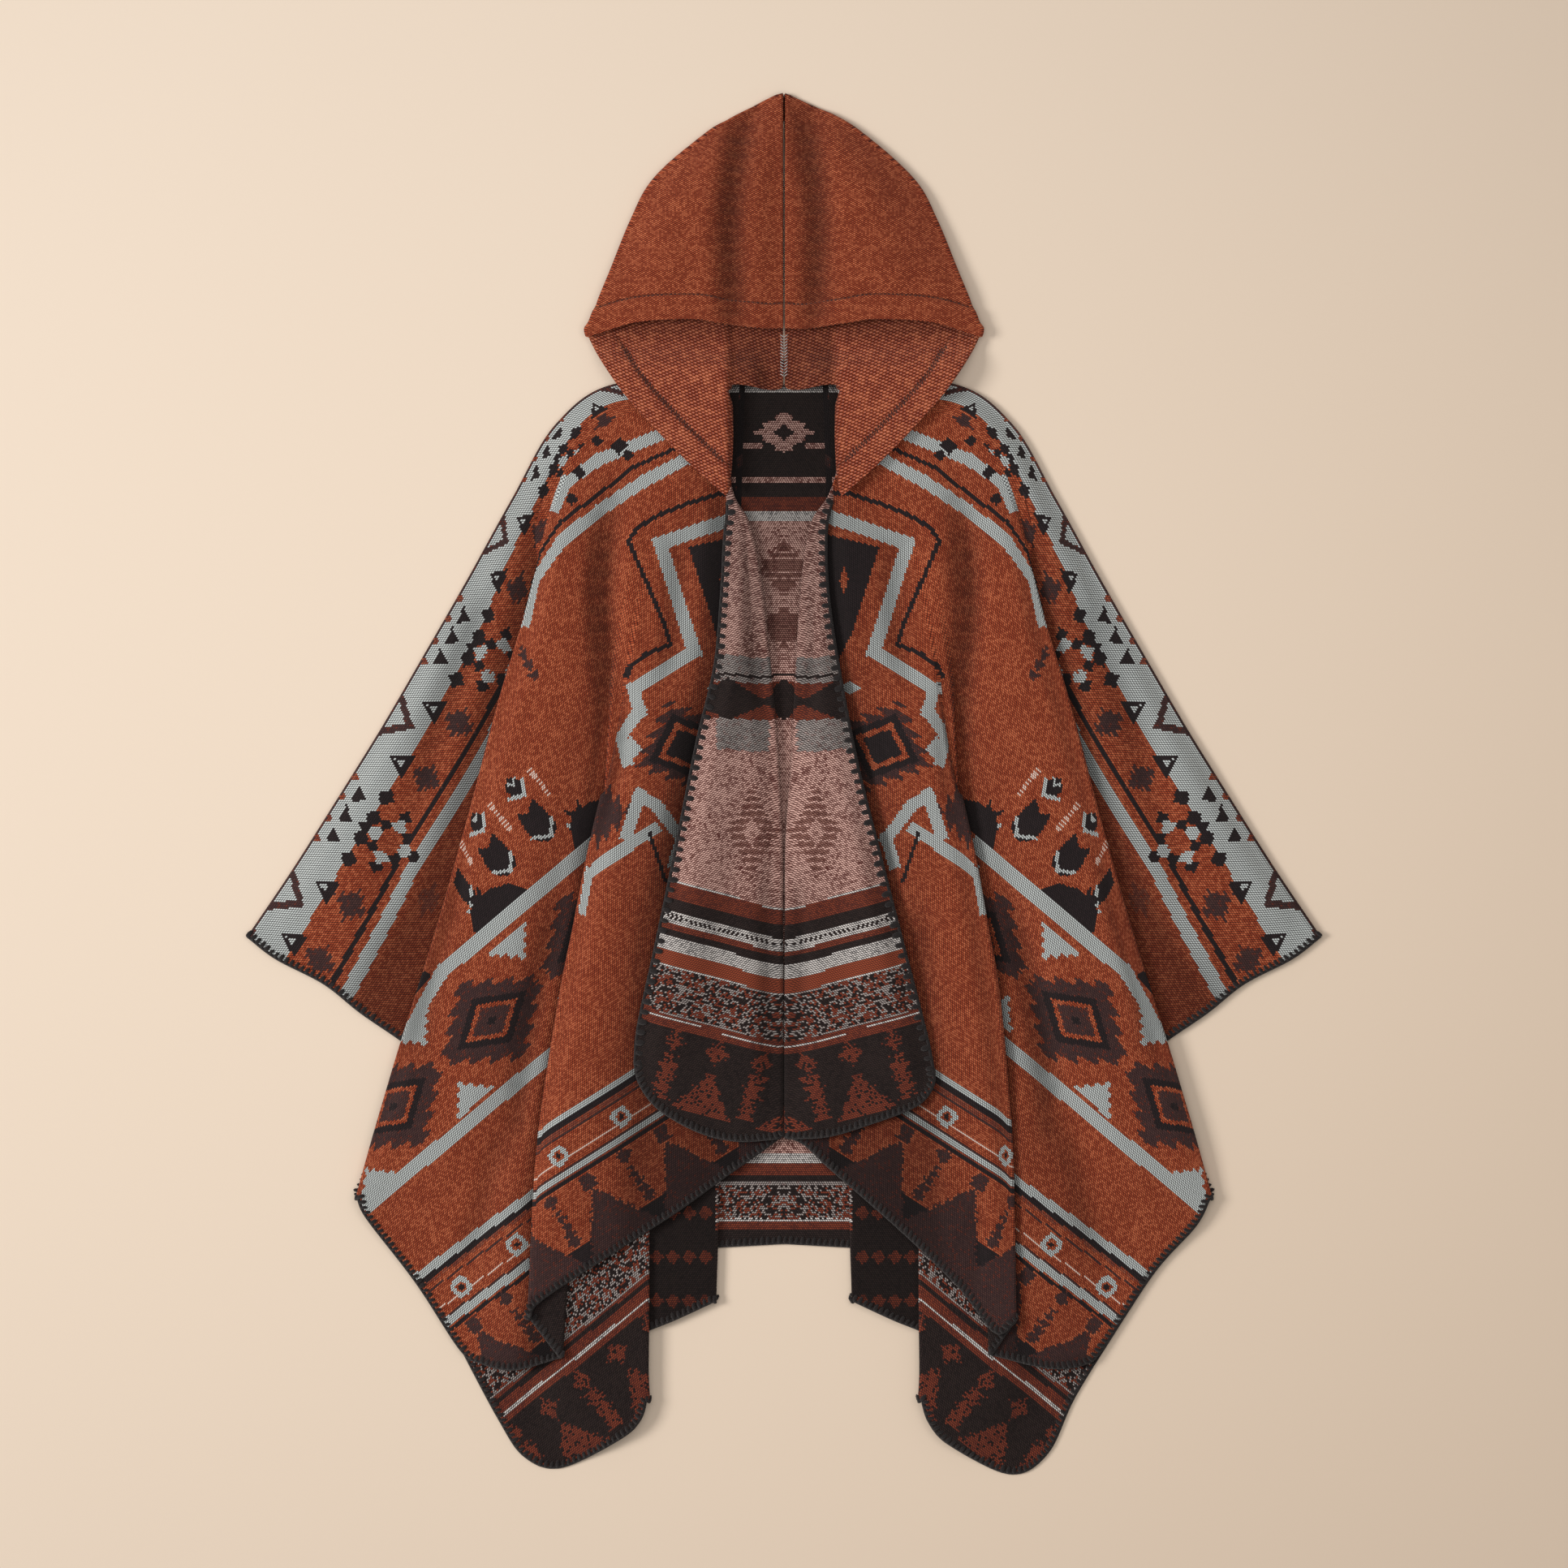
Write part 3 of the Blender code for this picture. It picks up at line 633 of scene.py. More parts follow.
@dataclass
class Front:
    """One front of the poncho: wing, body, inner part and turned lapel, in one cloth.

    Attributes:
        name: left or right.
        rows: Rows of its grid.
        wing, body, inner, lapel, under, turn: Columns of each stretch.
        pleat_puff, lapel_puff, puff_reach: How far the folds' edges stand up, and how far in that reaches.
        roll, roll_reach: How far the pattern creeps round a pleat's edge, and from how far in.
        pleat_rounding, lapel_rounding: Room for the turned cloth.
        loft, loft_reach, valley: How far the cloth stands up between folds, and how far from either it gets there.
    """

    # Painted shade: a crease of DEEP_CREASE depth gets full shade. Beside a covering fold's edge, each stretch gets a
    # close and a wide share of shade over the two reaches.
    SOFT_HEM, DEEP_CREASE = 0.1, 11.0
    CLOSE_REACH, WIDE_REACH = 13.0, 50.0
    FOLD_EDGE_SHADE = {Stretch.WING: (0.6, 0.3), Stretch.BODY: (0.6, 0.3), Stretch.INNER: (0.35, 0.5)}

    name: str
    rows: int = 140
    wing: int = 34
    body: int = 46
    inner: int = 46
    lapel: int = 30
    under: int = 6
    turn: int = 6
    pleat_puff: float = 4.0
    lapel_puff: float = 2.5
    puff_reach: float = 45.0
    roll: float = 7.0
    roll_reach: float = 9.0
    pleat_rounding: float = 5.0
    lapel_rounding: float = 4.5
    loft: float = 8.5
    loft_reach: float = 26.0
    valley: float = 24.0

    def __post_init__(self) -> None:
        """Reads the front's fold lines."""
        self.side = -1 if self.name == "left" else 1
        self.down = np.linspace(0, 1, self.rows)
        self.outer = Fold.of(WING_PLEAT, self.side, self.down, INWARD, self.pleat_rounding)
        self.middle = Fold.of(BODY_PLEAT[self.name], self.side, self.down, INWARD, self.pleat_rounding)
        self.turned = Fold.of(LAPEL[self.name], self.side, self.down, OUTWARD, self.lapel_rounding)

    def stretch(self, first: Array, last: Array, table: Rows, columns: int) -> Array:
        """Plan points of the cloth between two side lines, down to a hem of its own."""
        return patch(first, last, None, on_side(table, self.side, columns), self.down)

    def hidden_part(self, first: Array, last: Array) -> Array:
        """Plan points of a return layer between two side lines."""
        return patch(first, last, None, straight(first, last, self.under), self.down)

    def lie(self, pile: Pile, base: Pile, plan: Array, stretch: Stretch, fold: Fold | None = None,
            puff: float = 0.0, cover: Array | None = None, shut: Array | float = 1.0) -> Layer:
        """Lays one layer on the pile.

        Args:
            pile: What lies there already, to which it is added.
            base: What lay there before the whole front.
            plan: Its plan points.
            stretch: Whose pattern it shows.
            fold, puff: The fold at its first column, and how far its edge stands up.
            cover, shut: The line at which the next layer covers it, and how far it is pressed down there.

        Returns:
            The layer.
        """
        height = pile.rest(plan)
        chart = outward(plan)
        away = np.linalg.norm(plan - plan[:, :1], axis=-1)
        first = np.ones((self.rows, 1)) if fold is None else fold.folded[:, None]
        if fold is not None:
            flat = base.rest(plan)
            height = flat + first * (height - flat) + puff * first * bell(away, self.puff_reach)
            chart[..., 0] += bool(puff) * self.roll * first * np.exp(-away / self.roll_reach)
        soft = smooth((1 - self.down) / self.SOFT_HEM)[:, None] * np.ones(height.shape)
        lifts = sum(crease.lift(outward(plan)) for crease in FRONT_CREASES[stretch])
        # Painted shade in the cloth's troughs, only where the cloth shows.
        painted_shade = np.clip(-lifts / self.DEEP_CREASE, 0, 1)
        if cover is None:
            shown = 1 - first
            painted_shade = painted_shade * shown
        else:
            left = np.abs(plan[..., 0]) - np.abs(cover[:, :1])
            left = -left if stretch is Stretch.LAPEL else left
            pressed = np.reshape(shut, (-1, 1))
            shown = 1 - pressed * (1 - smooth(left / self.valley))
            painted_shade = painted_shade * shown
            soft *= 1 - first * (1 - smooth(away / self.loft_reach))
            # Painted shade on the cloth just beside the edge of the fold that covers it.
            if stretch is not Stretch.LAPEL:
                left = np.maximum(left, 0)
                close, wide = self.FOLD_EDGE_SHADE[stretch]
                fold_edge_shade = close * bell(left, self.CLOSE_REACH) + wide * bell(left, self.WIDE_REACH)
                painted_shade = np.maximum(painted_shade, pressed * fold_edge_shade)
        pile.add(raised(plan, height))
        lofted = height + np.maximum(self.loft * soft + lifts, 0.0) * shown
        return Layer(raised(plan, lofted), chart, stretch, painted_shade=painted_shade)

    def layers(self, pile: Pile) -> list[Layer]:
        """Lays the whole front from its shoulder edge to its free edge.

        Args:
            pile: What lies there already.

        Returns:
            Its six layers with the turned cloth between them.
        """
        shoulder = along(SHOULDER_EDGE, self.down) * (self.side, 1)
        wing_end, wing_back = self.outer.ends(self.outer.hidden)
        body_turn, body_start = self.outer.ends(self.outer.edge)
        body_end, body_back = self.middle.ends(self.middle.hidden)
        inner_turn, inner_start = self.middle.ends(self.middle.edge)
        inner_end, lapel_start = self.turned.ends(self.turned.edge, -1)
        base = Pile(pile.height)
        plans = [
            (self.stretch(shoulder, wing_end, WING_HEM, self.wing), Stretch.WING, None, 0.0,
             self.outer.edge, self.outer.folded),
            (self.hidden_part(wing_back, body_turn), Stretch.WING, self.outer, 0.0),
            (self.stretch(body_start, body_end, BODY_HEM[self.name], self.body),
             Stretch.BODY, self.outer, self.pleat_puff, self.middle.edge, self.middle.folded),
            (self.hidden_part(body_back, inner_turn), Stretch.BODY, self.middle, 0.0),
            (self.stretch(inner_start, inner_end, INNER_HEM[self.name], self.inner),
             Stretch.INNER, self.middle, self.pleat_puff, self.turned.hidden, self.turned.folded),
            (self.stretch(lapel_start, self.turned.hidden, LAPEL_HEM[self.name], self.lapel),
             Stretch.LAPEL, self.turned, self.lapel_puff, self.turned.hidden),
        ]
        laid = [self.lie(pile, base, *plan) for plan in plans]
        for layer in laid:
            pile.add(layer.points)
        return with_turns(laid, [self.outer, self.outer, self.middle, self.middle, self.turned], self.turn)


@dataclass
class Back:
    """The back of the poncho, wrong side up, with a middle fold and a tail on each side.

    Attributes:
        rows: Rows of the cloth's grid.
        tail, middle, centre, under, turn: Columns of each stretch.
        inset, inset_way: How far, and which way, its seam edge keeps inside the fronts' outline.
    """

    rows: int = 110
    tail: int = 50
    middle: int = 14
    centre: int = 16
    under: int = 6
    turn: int = 5
    inset: float = 3.0
    inset_way: Pair = (0.75, 0.66)

    def half(self, pile: Pile, name: str) -> list[Layer]:
        """Lays half the back, from the centre out.

        Args:
            pile: The floor so far.
            name: left or right.

        Returns:
            Its layers with the turned cloth between them.
        """
        side = -1 if name == "left" else 1
        down = np.linspace(0, 1, self.rows)
        tail_fold = Fold.of(TAIL_PLEAT, side, down)
        centre_fold = Fold.of(CENTRE_PLEAT, side, down)
        middle_line = np.stack([np.zeros(self.rows), BACK_NECK_Y + (CENTRE_HEM_Y - BACK_NECK_Y) * down], axis=1)
        outer_side = on_side(BACK_SIDE, side, self.rows)
        centre_end, middle_back = centre_fold.ends(centre_fold.hidden)
        middle_turn, middle_start = centre_fold.ends(centre_fold.edge)
        middle_end, tail_back = tail_fold.ends(tail_fold.hidden)
        tail_turn, tail_start = tail_fold.ends(tail_fold.edge)
        shoulder = on_side(SHOULDER_EDGE, side, LINE_POINTS)
        inset = unit(np.array([-side * self.inset_way[0], -self.inset_way[1]])) * self.inset
        reached = np.abs(shoulder[:, 0]) >= abs(tail_start[0, 0])
        seam = np.vstack([tail_start[:1], shoulder[reached] + inset, outer_side[:1]])
        tail_hem = on_side(TAIL_HEM[name][::-1], side, self.tail)
        middle_hem = on_side(MIDDLE_HEM[::-1], side, self.middle)

        def between(first: Array, last: Array, hem: Array | int, top: Array | None = None) -> Array:
            """Plan points of the cloth between two side lines, whose hem is a line, or straight if it is a number."""
            return patch(first, last, top, straight(first, last, hem) if isinstance(hem, int) else hem, down)

        base = Pile(pile.height)
        plans = [
            (between(middle_line, centre_end, self.centre), None),
            (between(middle_back, middle_turn, self.under), centre_fold),
            (between(middle_start, middle_end, middle_hem), centre_fold),
            (between(tail_back, tail_turn, self.under), tail_fold),
            (between(tail_start, outer_side, tail_hem, evenly(seam, self.tail)), tail_fold),
        ]
        laid = []
        for plan, fold in plans:
            height = pile.rest(plan)
            if fold is not None:
                flat = base.rest(plan)
                height = flat + fold.folded[:, None] * (height - flat)
            points = raised(plan, height)
            pile.add(points)
            stretch = Stretch.WING if len(laid) in (0, 2) else Stretch.BODY
            laid.append(Layer(points, outward(plan), Stretch.INNER if len(laid) == 4 else stretch))
        return with_turns(laid, [centre_fold, centre_fold, tail_fold, tail_fold], self.turn)

    def layers(self, pile: Pile) -> list[Layer]:
        """Lays the whole back from the left wing end to the right one.

        Args:
            pile: The bare floor. The back is added to it.

        Returns:
            All its layers.
        """
        halves = []
        bare = Pile(pile.height)
        for name in ("left", "right"):
            half_pile = Pile(bare.height)
            halves.append(self.half(half_pile, name))
            pile.height = np.maximum(pile.height, half_pile.height)
        left = [Layer(l.points[:, ::-1], l.chart[:, ::-1], l.stretch) for l in halves[0][::-1]]
        first = halves[1][0]
        halves[1][0] = Layer(first.points[:, 1:], first.chart[:, 1:], first.stretch)
        return left + halves[1]


def contour(grid: Array, values: Array, level: float) -> Array:
    """The line over a grid where a value reaches a level, searched for from the last column back.

    Args:
        grid: Rows and columns of points.
        values, level: A value at each point, lowest in the last column, and the level to find.

    Returns:
        One point for each row that reaches the level.
    """
    found = []
    for points, row in zip(grid, values):
        past = np.nonzero(row[::-1] >= level)[0]
        if len(past) and past[0] > 0:
            k = len(row) - 1 - past[0]
            share = (row[k] - level) / (row[k] - row[k + 1])
            found.append(points[k] + (points[k + 1] - points[k]) * share)
    return np.array(found)


@dataclass
class Hood:
    """One half of the hood: its lower layer with the turned flap, and the upper layer over it.

    Attributes:
        name: left or right.
        rows: Rows of its grid, a whole number for each row of its tables.
        lower, upper, turn: Columns of each layer, and round the outline.
        seam: How far it keeps from the centre line.
        fold, rise, shoulder, shoulder_power: How it rises from its rim.
        ridge_out, ridge_width, ridge_share: Where it stands highest, and how much less elsewhere.
        trough, trough_out: The sunk strip at the centre seam.
        face_drop, face_reach: How it falls to the face edge.
        corner_reach: How fast it opens from the corner, in rows of the CAD model.
        flap_lift, flap_edge, flap_step, flap_end, flap_fade: The flap over the hood's back.
        hem, hem_lift: Width and height of the turned hem.
        lean: How much nearer the seam the right half's creases lie.
        creases: The upper layer's creases.
    """

    CAD_STEPS = 22
    HEM_STEP, GROOVE_WIDTH, GROOVE_SHARE = 5.0, 3.2, 0.9
    # Painted shade: a crease this deep gets the full shade.
    DEEP_CREASE = 14.0

    name: str
    rows: int = 133
    lower: int = 46
    upper: int = 72
    turn: int = 6
    seam: float = 0.9
    fold: float = 7.0
    rise: float = 20.0
    shoulder: float = 34.0
    shoulder_power: float = 1.3
    ridge_out: float = 62.0
    ridge_width: float = 70.0
    ridge_share: float = 0.4
    trough: float = 8.0
    trough_out: float = 26.0
    face_drop: float = 0.4
    face_reach: float = 45.0
    corner_reach: float = 2.5
    flap_lift: float = 6.0
    flap_edge: float = 57.0
    flap_step: float = 5.0
    flap_end: float = 640.0
    flap_fade: float = 120.0
    hem: float = 26.0
    hem_lift: float = 1.7
    lean: float = 20.0
    creases: tuple[Crease, ...] = (
        Crease(((30, 760), (46, 670), (54, 600), (54, 540), (48, 420)), -13.0, 17),
        Crease(((96, 690), (112, 620), (124, 560), (128, 470)), 3.0, 26),
    )

    def lift(self, plan: Array, rim: Array, face: Array) -> Array:
        """Height of the upper layer over the lower one.

        Args:
            plan: Plan points of the upper layer.
            rim, face: The places of the outline and of the face edge, one for each row.

        Returns:
            One height for each plan point.
        """
        from_rim = np.linalg.norm(plan - rim[:, None], axis=-1)
        from_face = np.linalg.norm(plan - face[:, None], axis=-1)
        out = np.abs(plan[..., 0])
        risen = 1 - np.exp(-((from_rim / self.shoulder) ** self.shoulder_power))
        ridge = 1 - self.ridge_share * (1 - bell(out - self.ridge_out, self.ridge_width))
        drop = 1 - self.face_drop * bell(from_face, self.face_reach)
        trough = self.trough * bell(out, self.trough_out)
        cad_rows = np.arange(len(rim))[:, None] * self.CAD_STEPS / (self.rows - 1)
        opened = 1 - np.exp(-cad_rows / self.corner_reach)
        return np.maximum((self.fold + (self.rise * ridge * drop - trough) * risen) * opened, CLOTH + GAP)

    def hem_step(self, band: Array) -> Array:
        """How far the turned hem lifts the cloth, with a groove along its stitches."""
        past = band[..., 1] - self.hem
        return self.hem_lift * (smooth(0.5 - past / self.HEM_STEP) - self.GROOVE_SHARE * bell(past, self.GROOVE_WIDTH))

    def layers(self, pile: Pile) -> list[Layer]:
        """Lays the half on the pile, from its inner edge out and back over itself.

        Args:
            pile: What lies there already.

        Returns:
            The lower layer, the turned cloth at the outline and the upper layer.
        """
        side = -1 if self.name == "left" else 1
        down = np.linspace(0, 1, self.rows)
        outer, inner = along(HOOD_OUTER, down), along(HOOD_INNER, down)
        across = np.linspace(0, 1, self.lower)[None, :, None]
        lower = (1 - across) * inner[:, None] + across * outer[:, None]
        lower[..., 0] = np.maximum(lower[..., 0], self.seam)
        past_edge = smooth((lower[..., 0] - self.flap_edge) / self.flap_step + 0.5)
        below_crown = np.clip((self.flap_end - lower[..., 1]) / self.flap_fade, 0, 1)
        low_band = beside(HOOD_OUTER[:HOOD_CORNER + 1], lower) * (1, -1)
        chart = lower.copy()
        plan = lower * (side, 1)
        height = pile.rest(plan, 20.0, 8.0) + self.flap_lift * past_edge * below_crown
        self.corner = (self.rows - 1) * HOOD_CORNER // (len(HOOD_OUTER) - 1)
        flat = chart[..., 1] < HOOD_OUTER[HOOD_CORNER][1]
        base = raised(plan, height + np.where(flat, self.hem_step(low_band), 0))
        under = Layer(base, chart, Stretch.WING, low_band)

        rim = plan[self.corner:, -1]
        face = on_side(HOOD_FACE, side, len(rim))
        face[-1, 0] = side * self.seam
        across = np.linspace(0, 1, self.upper)[None, :, None]
        top = (1 - across) * rim[:, None] + across * face[:, None]
        band = beside(HOOD_FACE, outward(top))
        nearer = (self.lean if side > 0 else 0.0, 0.0)
        creases = sum(crease.lift(outward(top) + nearer) for crease in self.creases)
        level = np.maximum(self.lift(top, rim, face) + creases, CLOTH + GAP) + self.hem_step(band)
        level += base[self.corner:, -1:, 2]
        top_points = raised(top, level)

        def whole(grid: Array) -> Array:
            """The grid with its first row repeated for the rows under the corner."""
            return np.pad(grid, ((self.corner, 0), (0, 0), (0, 0))[:grid.ndim], "edge")

        # The upper layer gets painted shade in its troughs.
        over = Layer(whole(top_points), whole(outward(top)), Stretch.BODY, whole(band),
                     whole(np.clip(-creases / self.DEEP_CREASE, 0, 1)))
        bend = nose(under, over, np.ones(self.rows), self.turn)
        bend.edge_band = np.repeat(over.band[:, :1], self.turn, axis=1)
        bend.chart = np.repeat(over.chart[:, :1], self.turn, axis=1)
        return [under, bend, over]


class Yarn(Enum):
    """The yarns of the weave, each a paint of its own until the cloth is coloured.

    The right side shows the third channel as pale yarn, and the wrong side as maroon.
    """

    RUST = (0.0, 0.0, 0.0)
    DARK = (1.0, 0.0, 0.0)
    GREY = (0.0, 1.0, 0.0)
    PALE = (0.0, 0.0, 1.0)
    PLUM = (0.93, 0.0, 0.0)
    FADED = (0.45, 0.0, 0.0)
    MAROON = (0.0, 0.0, 1.0)
    MOTTLED = (0.85, 0.42, 0.0)
    DUSKY = (0.55, 0.0, 0.45)
    EMBER = (0.0, 1.0, 1.0)


RUST, DARK, GREY, PALE, PLUM, FADED, MOTTLED, DUSKY, EMBER = Yarn
MAROON = Yarn.MAROON


def operator(operation: str, turned: bool = False) -> Callable:
    """A method of Value that makes a Math node.

    Args:
        operation: The node's operation.
        turned: Whether the value itself comes last.

    Returns:
        The method.
    """
    def method(self: "Value", *others: "Value | float") -> "Value":
        """The node's result."""
        return self.graph.math(operation, *((*others, self) if turned else (self, *others)))

    return method


class Value:
    """A number, vector or colour in a material's tree, written as Python maths.

    Of masks, * is where both hold and | is where either holds. near(middle, reach) masks where it is within reach.
    """

    __add__ = __radd__ = operator("ADD")
    __sub__, __rsub__ = operator("SUBTRACT"), operator("SUBTRACT", True)
    __mul__ = __rmul__ = operator("MULTIPLY")
    __truediv__, __or__, __abs__ = operator("DIVIDE"), operator("MAXIMUM"), operator("ABSOLUTE")
    __lt__, __gt__ = operator("LESS_THAN"), operator("GREATER_THAN")
    near, floor = operator("COMPARE"), operator("FLOOR")

    def __init__(self, graph: "Graph", socket: bpy.types.NodeSocket) -> None:
        """Wraps one output socket."""
        self.graph = graph
        self.socket = socket

    def swing(self, pitch: float) -> "Value":
        """Its distance from the nearest whole pitch."""
        return self.graph.math("PINGPONG", self, pitch / 2)

    def saw(self, pitch: float) -> "Value":
        """How far it is past the last half pitch, from minus half a pitch to half a pitch."""
        return self.graph.math("WRAP", self, pitch / 2, -pitch / 2)


class Graph:
    """A material's node tree, built by calls that return values."""

    def __init__(self, name: str) -> None:
        """Starts an empty material."""
        self.material = bpy.data.materials.new(name)
        self.material.use_nodes = True
        self.tree = self.material.node_tree
        self.tree.nodes.clear()

    def node(self, kind: str, settings: dict | None = None, out: int | str = 0, **inputs: object) -> Value:
        """One output of a new node, which add_node makes."""
        return Value(self, add_node(self.tree, kind, settings, inputs).outputs[out])

    def ramp(self, place: Value, stops: list, interpolation: str) -> Value:
        """A colour ramp's result.

        Args:
            place: The place along it, from 0 to 1.
            stops: Its places, with the colour at each.
            interpolation: How it goes from one to the next.

        Returns:
            The colour.
        """
        made = add_node(self.tree, "ShaderNodeValToRGB", None, {"Fac": place})
        made.color_ramp.interpolation = interpolation
        elements = made.color_ramp.elements
        while len(elements) < len(stops):
            elements.new(1.0)
        for element, (at, colour) in zip(elements, stops):
            element.position = at
            element.color = (*colour, 1.0)
        return Value(self, made.outputs[0])

    def math(self, operation: str, *given: Value | float) -> Value:
        """A Math node's result."""
        return self.node("ShaderNodeMath", {"operation": operation}, **{f"i{k}": g for k, g in enumerate(given)})

    def vector(self, operation: str, *given: object, out: int = 0) -> Value:
        """A Vector Math node's result."""
        settings = {"operation": operation}
        return self.node("ShaderNodeVectorMath", settings, out, **{f"i{k}": g for k, g in enumerate(given)})

    def mix(self, share: Value | float, first: object, second: object) -> Value:
        """A colour that goes from the first to the second with the share."""
        colours = {"i6": first, "i7": second}
        colours = {key: (*c, 1.0) if isinstance(c, tuple) and len(c) == 3 else c for key, c in colours.items()}
        return self.node("ShaderNodeMix", {"data_type": "RGBA"}, 2, i0=share, **colours)

    def bump(self, height: Value, distance: float, strength: float) -> Value:
        """A normal from a height."""
        return self.node("ShaderNodeBump", Height=height, Distance=distance, Strength=strength)

    def finish(self, colour: Value, roughness: Value | float, normal: Value, sheen: float, sheen_tint: tuple) -> None:
        """Ends the tree in a cloth shader.

        Args:
            colour, roughness, normal: The shader's sockets of those names.
            sheen, sheen_tint: How much light the nap catches at a slant, and its colour.
        """
        shader = self.node("ShaderNodeBsdfPrincipled", Base_Color=colour, Roughness=roughness, Normal=normal,
                           Sheen_Weight=sheen, Sheen_Roughness=0.55, Sheen_Tint=(*sheen_tint, 1.0),
                           Specular_IOR_Level=0.12)
        add_node(self.tree, "ShaderNodeOutputMaterial", None, {"Surface": shader})


@dataclass(frozen=True)
class Palette:
    """The colours of the woven cloth, in linear light."""

    rust: tuple = (0.385, 0.066, 0.022)
    rust_gap: tuple = (0.080, 0.013, 0.008)
    rust_blush: tuple = (0.64, 0.19, 0.085)
    dark: tuple = (0.012, 0.009, 0.010)
    dark_fleck: tuple = (0.046, 0.029, 0.031)
    grey: tuple = (0.56, 0.60, 0.59)
    grey_gap: tuple = (0.045, 0.042, 0.045)
    pale: tuple = (0.70, 0.56, 0.48)
    wrong: tuple = (0.66, 0.41, 0.35)
    wrong_gap: tuple = (0.10, 0.026, 0.021)
    wrong_rust: tuple = (0.070, 0.016, 0.012)
    wrong_ember: tuple = (0.30, 0.062, 0.026)
    wrong_dark: tuple = (0.011, 0.007, 0.007)
    wrong_grey: tuple = (0.62, 0.58, 0.55)


class Weave:
    """The woven cloth's material: yarn paints laid over the chart, then coloured stitch by stitch and darkened by
    painted shade.

    The chart holds the pattern's places (out, y), and the band's places run along and in from the cloth's own edge.
    """

    CELL, WRONG_CELL = (2.4, 2.0), (2.4, 2.1)
    # The painted shade: how strongly the creases darken the cloth, and the share of its colour that full shade leaves.
    HOLLOW_SHADE, SHADE_FLOOR = 0.8, 0.2

    palette = Palette()

    def __init__(self, name: str, turn: float = 0.0, wrong_side: bool = False, on_band: bool = False,
                 cell: Pair | None = None) -> None:
        """Reads the pattern's places and lays the stitches over them.

        Args:
            name: The material's name.
            turn: How far the rows of stitches are turned, in degrees.
            wrong_side, on_band: Whether it is the wrong side, and whether the rows follow the band.
            cell: A stitch's width and height in millimetres, if it isn't the side's usual one.
        """
        cell = cell or (self.WRONG_CELL if wrong_side else self.CELL)
        g = self.g = Graph(name)
        self.wrong_side = wrong_side
        chart, band = (g.vector("MULTIPLY", g.node("ShaderNodeUVMap", {"uv_map": label}), (100.0, 100.0, 0.0))
                       for label in ("chart", "band"))
        source, other = (band, chart) if on_band else (chart, band)
        c, s = math.cos(math.radians(turn)), math.sin(math.radians(turn))
        u = g.vector("DOT_PRODUCT", source, (c, s, 0), out=1)
        v = g.vector("DOT_PRODUCT", source, (-s, c, 0), out=1)
        row = (v / cell[1]).floor()
        place = u / cell[0] + row * 0.5
        column = place.floor()
        self.across = place - column - 0.5
        self.down = v / cell[1] - row - 0.5
        stitch = g.node("ShaderNodeCombineXYZ", X=column, Y=row)
        self.chance = g.node("ShaderNodeTexWhiteNoise", {"noise_dimensions": "2D"}, Vector=stitch)
        centre_u = (column - row * 0.5 + 0.5) * cell[0]
        centre_v = (row + 0.5) * cell[1]
        x = centre_u * c - centre_v * s
        y = centre_u * s + centre_v * c
        jag = (self.chance - 0.5) * 1.3
        split = [g.node("ShaderNodeSeparateXYZ", None, k, Vector=other) + jag for k in range(2)]
        self.x, self.y = split if on_band else (x, y)
        self.s, self.t = (x, y) if on_band else split
        self.place = self.spot(self.x, self.y)
        # The painted shade of the cloth's creases, carried as a UV map.
        self.painted_shade = g.node("ShaderNodeSeparateXYZ", None, 0, Vector=g.node("ShaderNodeUVMap", {"uv_map": "painted_shade"}))
        self.paint: Value | None = None

    def spot(self, u: Value, v: Value) -> Value:
        """Two numbers as a place, with a 1 that lets a dot product shift it too."""
        return self.g.node("ShaderNodeCombineXYZ", X=u, Y=v, Z=1.0)

    def measure(self, way: Pair, start: Pair, place: Value | None = None) -> Value:
        """How far places, or the chart's, lie from a start along a way that is one long."""
        shift = -float(np.dot(way, start))
        return self.g.vector("DOT_PRODUCT", place or self.place, (float(way[0]), float(way[1]), shift), out=1)

    def line(self, start: Pair, end: Pair, place: Value | None = None) -> tuple[Value, Value]:
        """How far places lie along a straight line and to its right, from its start."""
        way = unit(np.subtract(end, start).astype(float))
        return self.measure(way, start, place), self.measure((way[1], -way[0]), start, place)

    def local(self, along_it: Value, across_it: Value, way: Pair) -> Value:
        """Turns places along and right of a way back into out, y, around a motif's own middle."""
        length = math.hypot(*way)
        c, s = way[0] / length, way[1] / length
        return self.spot(along_it * c + across_it * s, along_it * s - across_it * c)

    def inside(self, corners: Rows, place: Value | None = None) -> Value:
        """A mask of a shape with straight sides and no notches.

        Args:
            corners: Its corners in order round it.
            place: Places, if not the chart's.

        Returns:
            The mask.
        """
        points = np.asarray(corners, float)
        after = np.roll(points, -1, axis=0)
        turn = np.sign(np.sum(points[:, 0] * after[:, 1] - points[:, 1] * after[:, 0]))
        furthest = None
        for start, end in zip(points, after):
            way = unit(end - start) * turn
            gap = self.measure((way[1], -way[0]), start, place)
            furthest = gap if furthest is None else furthest | gap
        return furthest < 0.0

    def follow(self, value: Value, table: list[Pair]) -> Value:
        """A number that changes with another one.

        Args:
            value, table: The other one, and its places with the number at each.

        Returns:
            The number.
        """
        low, high = table[0][0], table[-1][0]
        most = max(number for _, number in table)
        stops = [((place - low) / (high - low), (number / most,) * 3) for place, number in table]
        return self.g.ramp((value - low) / (high - low), stops, "LINEAR") * most

